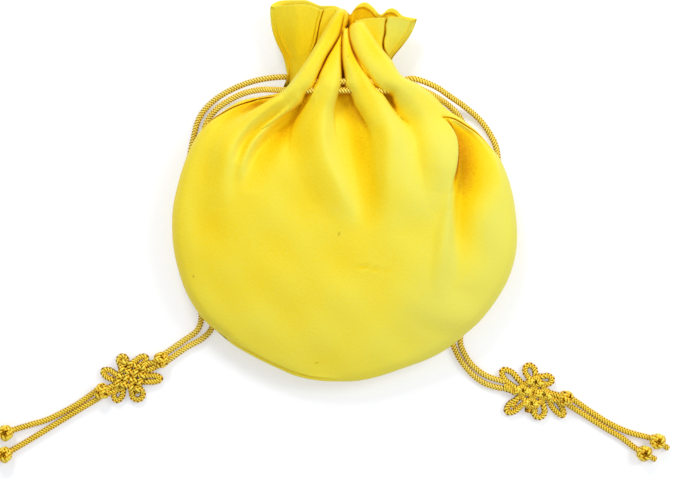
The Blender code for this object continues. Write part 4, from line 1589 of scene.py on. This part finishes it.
# A strand's last stretch: how far out it goes and how high, and how far it then tucks back
LEAD_OUT, LEAD_HEIGHT = 1.6, 2.4
TUCK_OUT, TUCK_HEIGHT, TUCK_BACK = 1.1, 2.0, 0.6
# How high cord beneath the weave lies, and of the passes there, in pitches: how far beside the
# middle each is, half the length of a middle one, and how much shorter it is a pitch away
UNDER_HEIGHT = 1.1
UNDER_PLACES = (-1.15, 0.0, 1.15)
UNDER_REACH = 1.75
UNDER_SHORTER = 0.8


@dataclass(frozen=True)
class FlowerKnot:
    """A flat knot with six petals: four strands woven over and under four others, each pair of
    neighbours joined outside the weave by a petal.

    bearing is the direction of the first four strands, the rows, in degrees. Each family of
    strands has its first and third petals at the far side of its run and its second at the near
    side, and columns_back turns the columns' run round. loose says where the rows' first and
    last ends go, and then the columns', with None for an end that tucks under. links are
    further stretches of cord. pitch is how far apart the strands are, middle the height of the
    weave's middle, and swing how far a strand rises and sinks from it.
    """

    name: str
    centre: tuple
    bearing: float
    rows: tuple
    columns: tuple
    loose: tuple
    links: tuple
    columns_back: bool = False
    pitch: float = 2.5
    middle: float = 2.2
    swing: float = 0.98
    cord: float = 1.92 * MM

    def axes(self) -> tuple[Array, Array]:
        """The unit directions of the rows, and of the columns at a right angle to them.

        Returns:
            Both, as x and y.
        """
        angle = math.radians(self.bearing)
        first = np.array([math.cos(angle), math.sin(angle)])
        return first, np.array([first[1], -first[0]])

    def family(self, run: Array, step: Array, petals: tuple, sign: float,
               ends: tuple) -> Array:
        """The path of four strands and their three petals.

        Args:
            run: the strands' unit direction.
            step: the unit direction from one strand to the next.
            petals: the three petals in order.
            sign: 1 or -1, so that one family goes over where the other goes under.
            ends: where the first and the last loose ends go, or None to tuck them under.

        Returns:
            The path's points in millimetres.
        """
        centre = np.array(self.centre)
        points = []
        for number in range(4):
            way = 1 if number % 2 == 0 else -1
            offset = (number - 1.5) * self.pitch
            for crossing in (range(4) if way > 0 else range(3, -1, -1)):
                along = (crossing - 1.5) * self.pitch
                over = sign if (number + crossing) % 2 == 0 else -sign
                points.append([*(centre + run * along + step * offset),
                               self.middle + self.swing * over])
            if number < 3:
                points += self.petal(petals[number], run * way, step, number)
        first, last = ends
        lead = self.leading(points[0], run, first)
        tail = self.leading(points[-1], run, last)
        return np.array(lead[::-1] + points + tail)

    def petal(self, loop: Loop, run: Array, step: Array, number: int) -> list:
        """The points of a petal: out along one strand, wide, round the tip and back.

        Args:
            loop: the petal.
            run: the unit direction out of the weave.
            step: the unit direction from one strand to the next.
            number: the strand that it starts from.

        Returns:
            Points in millimetres.
        """
        centre = np.array(self.centre)
        base = centre + run * 1.5 * self.pitch + step * (number - 1.0) * self.pitch
        tip = plan(np.array([loop.tip]))[0] / MM
        ahead = (tip - base) / np.linalg.norm(tip - base)
        tip = tip - ahead * PETAL_EDGE
        reach = tip - base
        beside = step - ahead * (step @ ahead)
        beside /= np.linalg.norm(beside)
        out, back = [], []
        for far, wide, least, lift in PETAL_MARKS:
            aside = beside * max(loop.width * wide, least)
            out.append([*(base + reach * far - aside), PETAL_HEIGHT + lift])
            back.append([*(base + reach * far + aside), PETAL_HEIGHT + lift])
        return [*out, [*tip, PETAL_HEIGHT], *back[::-1]]

    def leading(self, inner: list, run: Array, goal: tuple | None) -> list:
        """The points from the weave's edge to a loose end's goal.

        Args:
            inner: the strand's last point in the weave.
            run: the strands' unit direction.
            goal: where the end goes, or None to tuck it under.

        Returns:
            Points in millimetres, outwards.
        """
        place = np.array(inner[:2])
        centre = np.array(self.centre)
        out = run * np.sign((place - centre) @ run)
        if goal is None:
            turned = place + out * TUCK_OUT
            return [[*turned, TUCK_HEIGHT], [*(turned - out * TUCK_BACK), UNDER_HEIGHT]]
        return [[*(place + out * LEAD_OUT), LEAD_HEIGHT], [*goal]]

    def under(self) -> list:
        """Three straight passes of cord that cross beneath the weave, from corner to corner,
        and close its gaps. The outer two are shorter.

        Returns:
            Three points in millimetres for each.
        """
        run, step = self.axes()
        ahead, aside = (run + step) / math.sqrt(2), (run - step) / math.sqrt(2)
        passes = []
        for offset in UNDER_PLACES:
            reach = (UNDER_REACH - UNDER_SHORTER * abs(offset)) * self.pitch
            middle = np.array(self.centre) + aside * offset * self.pitch
            ends = [middle - ahead * reach, middle, middle + ahead * reach]
            passes.append([(*end, UNDER_HEIGHT) for end in ends])
        return passes

    def build(self) -> bpy.types.Object:
        """Makes the knot: both families of strands, the links and the passes beneath.

        Returns:
            The piece.
        """
        run, step = self.axes()
        braid = Braid(diameter=self.cord, side_shade=KNOT_SIDE_SHADE)
        rows = self.family(run, step, self.rows, 1, self.loose[:2])
        columns = self.family(step * (-1 if self.columns_back else 1), run, self.columns, -1,
                              self.loose[2:])
        return tied(self.name, [braid.sweep(even_path(np.array(path) * MM, braid.step))
                                for path in [rows, columns, *self.links, *self.under()]])


LEFT_FLOWER = FlowerKnot(
    "left_flower_braid", (-74.6, -64.2), 253.0,
    rows=(Loop((138.5, 403.5), 1.9), Loop((146.5, 357.0), 1.2), Loop((113.5, 404.5), 1.55)),
    columns=(Loop((119.5, 354.5), 1.3), Loop((161.5, 380), 1.1), Loop((98.5, 371), 1.3)),
    loose=((-65.5, -59.6, 2.2), None, (-64.9, -60.6, 2.4), None),
    links=(((-77.6, -66.6, 1.6), (-80.4, -67.6, 2.2), (-83.6, -68.9, 2.4)),
           ((-76.4, -68.2, 1.4), (-79.4, -69.4, 1.6), (-83.3, -70.6, 2.2)),
           ((-74.3, -67.2, 1.1), (-73.0, -69.2, 1.1), (-72.6, -70.9, 1.0))),
)
RIGHT_FLOWER = FlowerKnot(
    "right_flower_braid", (66.0, -70.2), 33.0,
    rows=(Loop((557, 381), 1.45), Loop((506.5, 415), 1.6), Loop((567, 419), 1.3)),
    columns=(Loop((502, 370), 1.8), Loop((541, 422), 1.9), Loop((528.5, 364), 1.7)),
    loose=((55.9, -67.3, 1.1), None, None, (76.4, -72.6, 2.4)),
    links=(((55.6, -68.7, 1.1), (58.4, -69.4, 1.5), (61.6, -69.6, 1.6)),
           ((70.2, -70.0, 1.6), (73.0, -70.6, 2.2), (76.6, -71.6, 2.6)),
           ((63.4, -73.0, 1.2), (65.6, -75.6, 1.4), (67.4, -77.4, 1.2)),
           ((61.0, -71.4, 1.2), (59.6, -73.6, 1.4), (58.6, -75.6, 1.2))),
    columns_back=True,
    pitch=2.65,
)


@dataclass(frozen=True)
class Drawcord:
    """One drawcord: a braid from its knot round the neck and back, with its knots.

    route is in millimetres. The cord starts at its exit, where it leaves its knot. buttons are
    the round knots beside the flower knot, each with its node's name.
    """

    side: Side
    route: list
    flower: FlowerKnot
    buttons: tuple
    tails: tuple

    def build(self, material: bpy.types.Material, knotted: bpy.types.Material) -> None:
        """Args:
            material: the drawcord's finish.
            knotted: the finish of its knots and tails.
        """
        braid = Braid()
        side = self.side.value
        path = even_path(np.array(self.route) * MM, braid.step)
        cord = tied(f"{side}_drawcord_braid", [braid.sweep(path)])
        dress(cord, material, f"{side}_drawcord")
        knots = [dress(self.flower.build(), knotted, f"{side}_flower_knot")]
        for button, node in self.buttons:
            knots.append(dress(button.build(), knotted, node))
        declare(cord, path, knots)
        for which, route in zip(Tail, self.tails):
            path = even_path(np.array(route) * MM, braid.step)
            name = f"{side}_{which.value}"
            tail = tied(f"{name}_tail_braid", [braid.sweep(path)])
            dress(tail, knotted, f"{name}_tail")
            knot = stopper(f"{name}_stopper_braid", route).build()
            declare(tail, path, [dress(knot, knotted, f"{name}_stopper_knot")])


def declare(cord: bpy.types.Object, path: Array, knots: list) -> None:
    """Logs the length of a cord that ends in a knot.

    Args:
        cord: the piece.
        path: its centreline, from where it comes out.
        knots: the pieces that are tied in it; not used.
    """
    length = path_length(path)
    log.info("%s: %.0f mm long", cord.name, length / MM)


def path_length(path: Array) -> float:
    """The length of a path."""
    return float(np.linalg.norm(np.diff(path, axis=0), axis=1).sum())


def dress(piece: bpy.types.Object, material: bpy.types.Material, node: str) -> bpy.types.Object:
    """Gives a piece its material, hides the CAD node that it takes the place of, and lets it ride
    on the pouch.

    Args:
        piece: the piece.
        material: its material.
        node: the node of the CAD part that it takes the place of.

    Returns:
        The same piece.
    """
    piece.data.materials.append(material)
    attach(piece, "root")
    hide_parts(node)
    log.info("%s: %d triangles", piece.name, 2 * len(piece.data.polygons))
    return piece


def stopper(name: str, tail: tuple) -> BallKnot:
    """The stopper knot on a tail, at its last point but one and headed along it.

    Args:
        name: the piece's name.
        tail: the tail's points in millimetres.

    Returns:
        The knot.
    """
    x, y, _ = tail[-2]
    heading = (tail[-1][0] - x, tail[-1][1] - y)
    return BallKnot(name, (x, y), heading, leads=2, bights=3, size=6.3 * MM, cord=2.25 * MM,
                    swing=54.0, weave=0.3 * MM, turn=0.6)


DRAWCORDS = (
    Drawcord(Side.LEFT, LEFT_ROUTE, LEFT_FLOWER,
             ((BallKnot("left_upper_button_braid", (-64.04, -58.69), (-0.88, -0.47)),
               "left_upper_button_knot"),
              (BallKnot("left_lower_button_braid", (-84.76, -69.71), (-0.88, -0.47),
                        turn=0.5), "left_lower_button_knot")),
             LEFT_TAILS),
    Drawcord(Side.RIGHT, RIGHT_ROUTE, RIGHT_FLOWER,
             ((BallKnot("right_lower_button_braid", (77.37, -72.24), (0.978, -0.208)),
               "right_lower_button_knot"),),
             RIGHT_TAILS),
)


@dataclass
class Studio:
    """A white table under soft white light, with the camera straight above.

    The camera shows frame_width at focus_height. paper is the table's colour, reach half its
    side, and glow its own light. room is the strength of the white room, and each lamp has a
    name, a place and a size in metres, its watts and its colour.
    """

    frame_width: float = IMAGE_WIDTH * PIXEL
    focus_height: float = 7 * MM
    lens: float = 90.0
    sensor: float = 36.0
    paper: str = "#E4E6EC"
    reach: float = 3.0
    glow: float = 0.36
    room: float = 0.58
    lamps: tuple = (("key", (0.50, 0.22, 0.52), 0.3, 1.7, "#FCFFFA"),
                    ("top", (-0.14, 0.42, 0.38), 0.15, 1.05, "#FFFFFF"))

    def camera(self) -> None:
        """Adds the camera. It is as far off as makes the picture's width the frame's."""
        data = bpy.data.cameras.new("camera")
        data.lens = self.lens
        data.sensor_width = self.sensor
        data.clip_start = 0.01
        made = bpy.data.objects.new("camera", data)
        bpy.context.scene.collection.objects.link(made)
        x = (IMAGE_WIDTH / 2 - ORIGIN_PIXEL[0]) * PIXEL
        y = (ORIGIN_PIXEL[1] - IMAGE_HEIGHT / 2) * PIXEL
        away = self.frame_width * self.lens / self.sensor
        made.location = (x, y, self.focus_height + away)
        bpy.context.scene.camera = made

    def table(self) -> None:
        """Adds the floor: matt white, with enough of its own light for the camera that it
        reads as plain white while it still takes the pouch's shadow."""
        corners = np.array([(-1, -1, 0), (1, -1, 0), (1, 1, 0), (-1, 1, 0)]) * self.reach
        floor = add_mesh("floor", corners, np.array([[0, 1, 2, 3]]))
        made = bpy.data.materials.new("white paper")
        made.use_nodes = True
        tree = made.node_tree
        tree.nodes.clear()
        matt = add_node(tree, "BsdfDiffuse", {}, {"Color": linear(self.paper)})
        path = add_node(tree, "LightPath")
        shown = path.outputs["Is Camera Ray"]
        for ray in ("Is Glossy Ray", "Is Transmission Ray"):
            shown = add_node(tree, "Math", {"operation": "MAXIMUM"},
                             {0: shown, 1: path.outputs[ray]}).outputs[0]
        strength = add_node(tree, "Math", {"operation": "MULTIPLY"}, {0: shown, 1: self.glow})
        glow = add_node(tree, "Emission", {}, {"Strength": strength.outputs[0]})
        both = add_node(tree, "AddShader", {}, {0: matt.outputs[0], 1: glow.outputs[0]})
        add_node(tree, "OutputMaterial", {}, {"Surface": both.outputs[0]})
        floor.data.materials.append(made)

    def lamp(self, name: str, place: tuple, size: float, watts: float, code: str) -> None:
        """Adds a square lamp that faces the pouch.

        Args:
            name: its name.
            place: where it stands, in metres.
            size: its side, in metres.
            watts: its power.
            code: its sRGB hex colour.
        """
        data = bpy.data.lights.new(name, "AREA")
        data.shape = "SQUARE"
        data.size = size
        data.energy = watts
        data.color = linear(code)[:3]
        made = bpy.data.objects.new(name, data)
        bpy.context.scene.collection.objects.link(made)
        made.location = place
        direction = -np.array(place, float)
        yaw = math.atan2(direction[1], direction[0])
        pitch = math.atan2(np.hypot(direction[0], direction[1]), -direction[2])
        made.rotation_euler = (pitch, 0, yaw - math.pi / 2)

    def light(self) -> None:
        """Adds the lamps and the white room."""
        world = bpy.data.worlds.new("white room")
        bpy.context.scene.world = world
        world.use_nodes = True
        background = world.node_tree.nodes["Background"]
        background.inputs["Color"].default_value = linear("#FFFFFF")
        background.inputs["Strength"].default_value = self.room
        for lamp in self.lamps:
            self.lamp(*lamp)

    def build(self) -> None:
        """Adds everything but the camera."""
        self.table()
        self.light()


# The width of a collar flap, in metres
FLAP_WIDTH = 0.030


@dataclass
class Pouch:
    """The whole pouch: two panels with the collar's two flaps, and the two drawcords."""

    front: FrontPanel = field(default_factory=FrontPanel)
    back: BackPanel = field(default_factory=BackPanel)

    def cords(self) -> None:
        """Makes both drawcords with their knots."""
        braid = BraidedSilk().build()
        # The knots' and tails' copy of the braid, with a darker gap colour as deeper painted
        # shade
        knotted = BraidedSilk("round braided cord, knots with deeper painted shade", crown="#FFF05C", flank="#FAAE0C",
                              gap="#280E00").build()
        for drawcord in DRAWCORDS:
            drawcord.build(braid, knotted)

    def cloth(self) -> None:
        satin = SilkSatin().build()
        # The collar flaps' copy of the satin, dimmed as painted shade, with real crinkles
        gathered = SilkSatin("woven silk satin, crinkled collar, painted shade", dim=0.87, crinkle=0.5).build()
        front = dress(self.front.build(), satin, "front_panel")
        back = dress(self.back.build(), satin, "back_panel")
        flaps = [dress(flap.build(), gathered, "front_panel")
                 for flap in (LEFT_FLAP, RIGHT_FLAP)]
        for piece in (front, back, *flaps):
            log.info("%s: %.0f square mm", piece.name, surface_area(piece) / MM**2)
        for flap in flaps:
            surface_area(flap) / FLAP_WIDTH


def surface_area(piece: bpy.types.Object) -> float:
    """The area of a mesh's faces.

    Args:
        piece: the mesh object.

    Returns:
        The area in square metres.
    """
    areas = np.empty(len(piece.data.polygons))
    piece.data.polygons.foreach_get("area", areas)
    return float(areas.sum())


def main() -> None:
    """Builds the pouch, its cords and knots, and the place where it lies."""
    logging.basicConfig(level=logging.INFO, format="%(name)s: %(message)s")
    bpy.context.scene.view_settings.view_transform = "Standard"
    studio = Studio()
    studio.camera()
    pouch = Pouch()
    pouch.cords()
    pouch.cloth()
    studio.build()


if __name__ == "__main__":
    main()
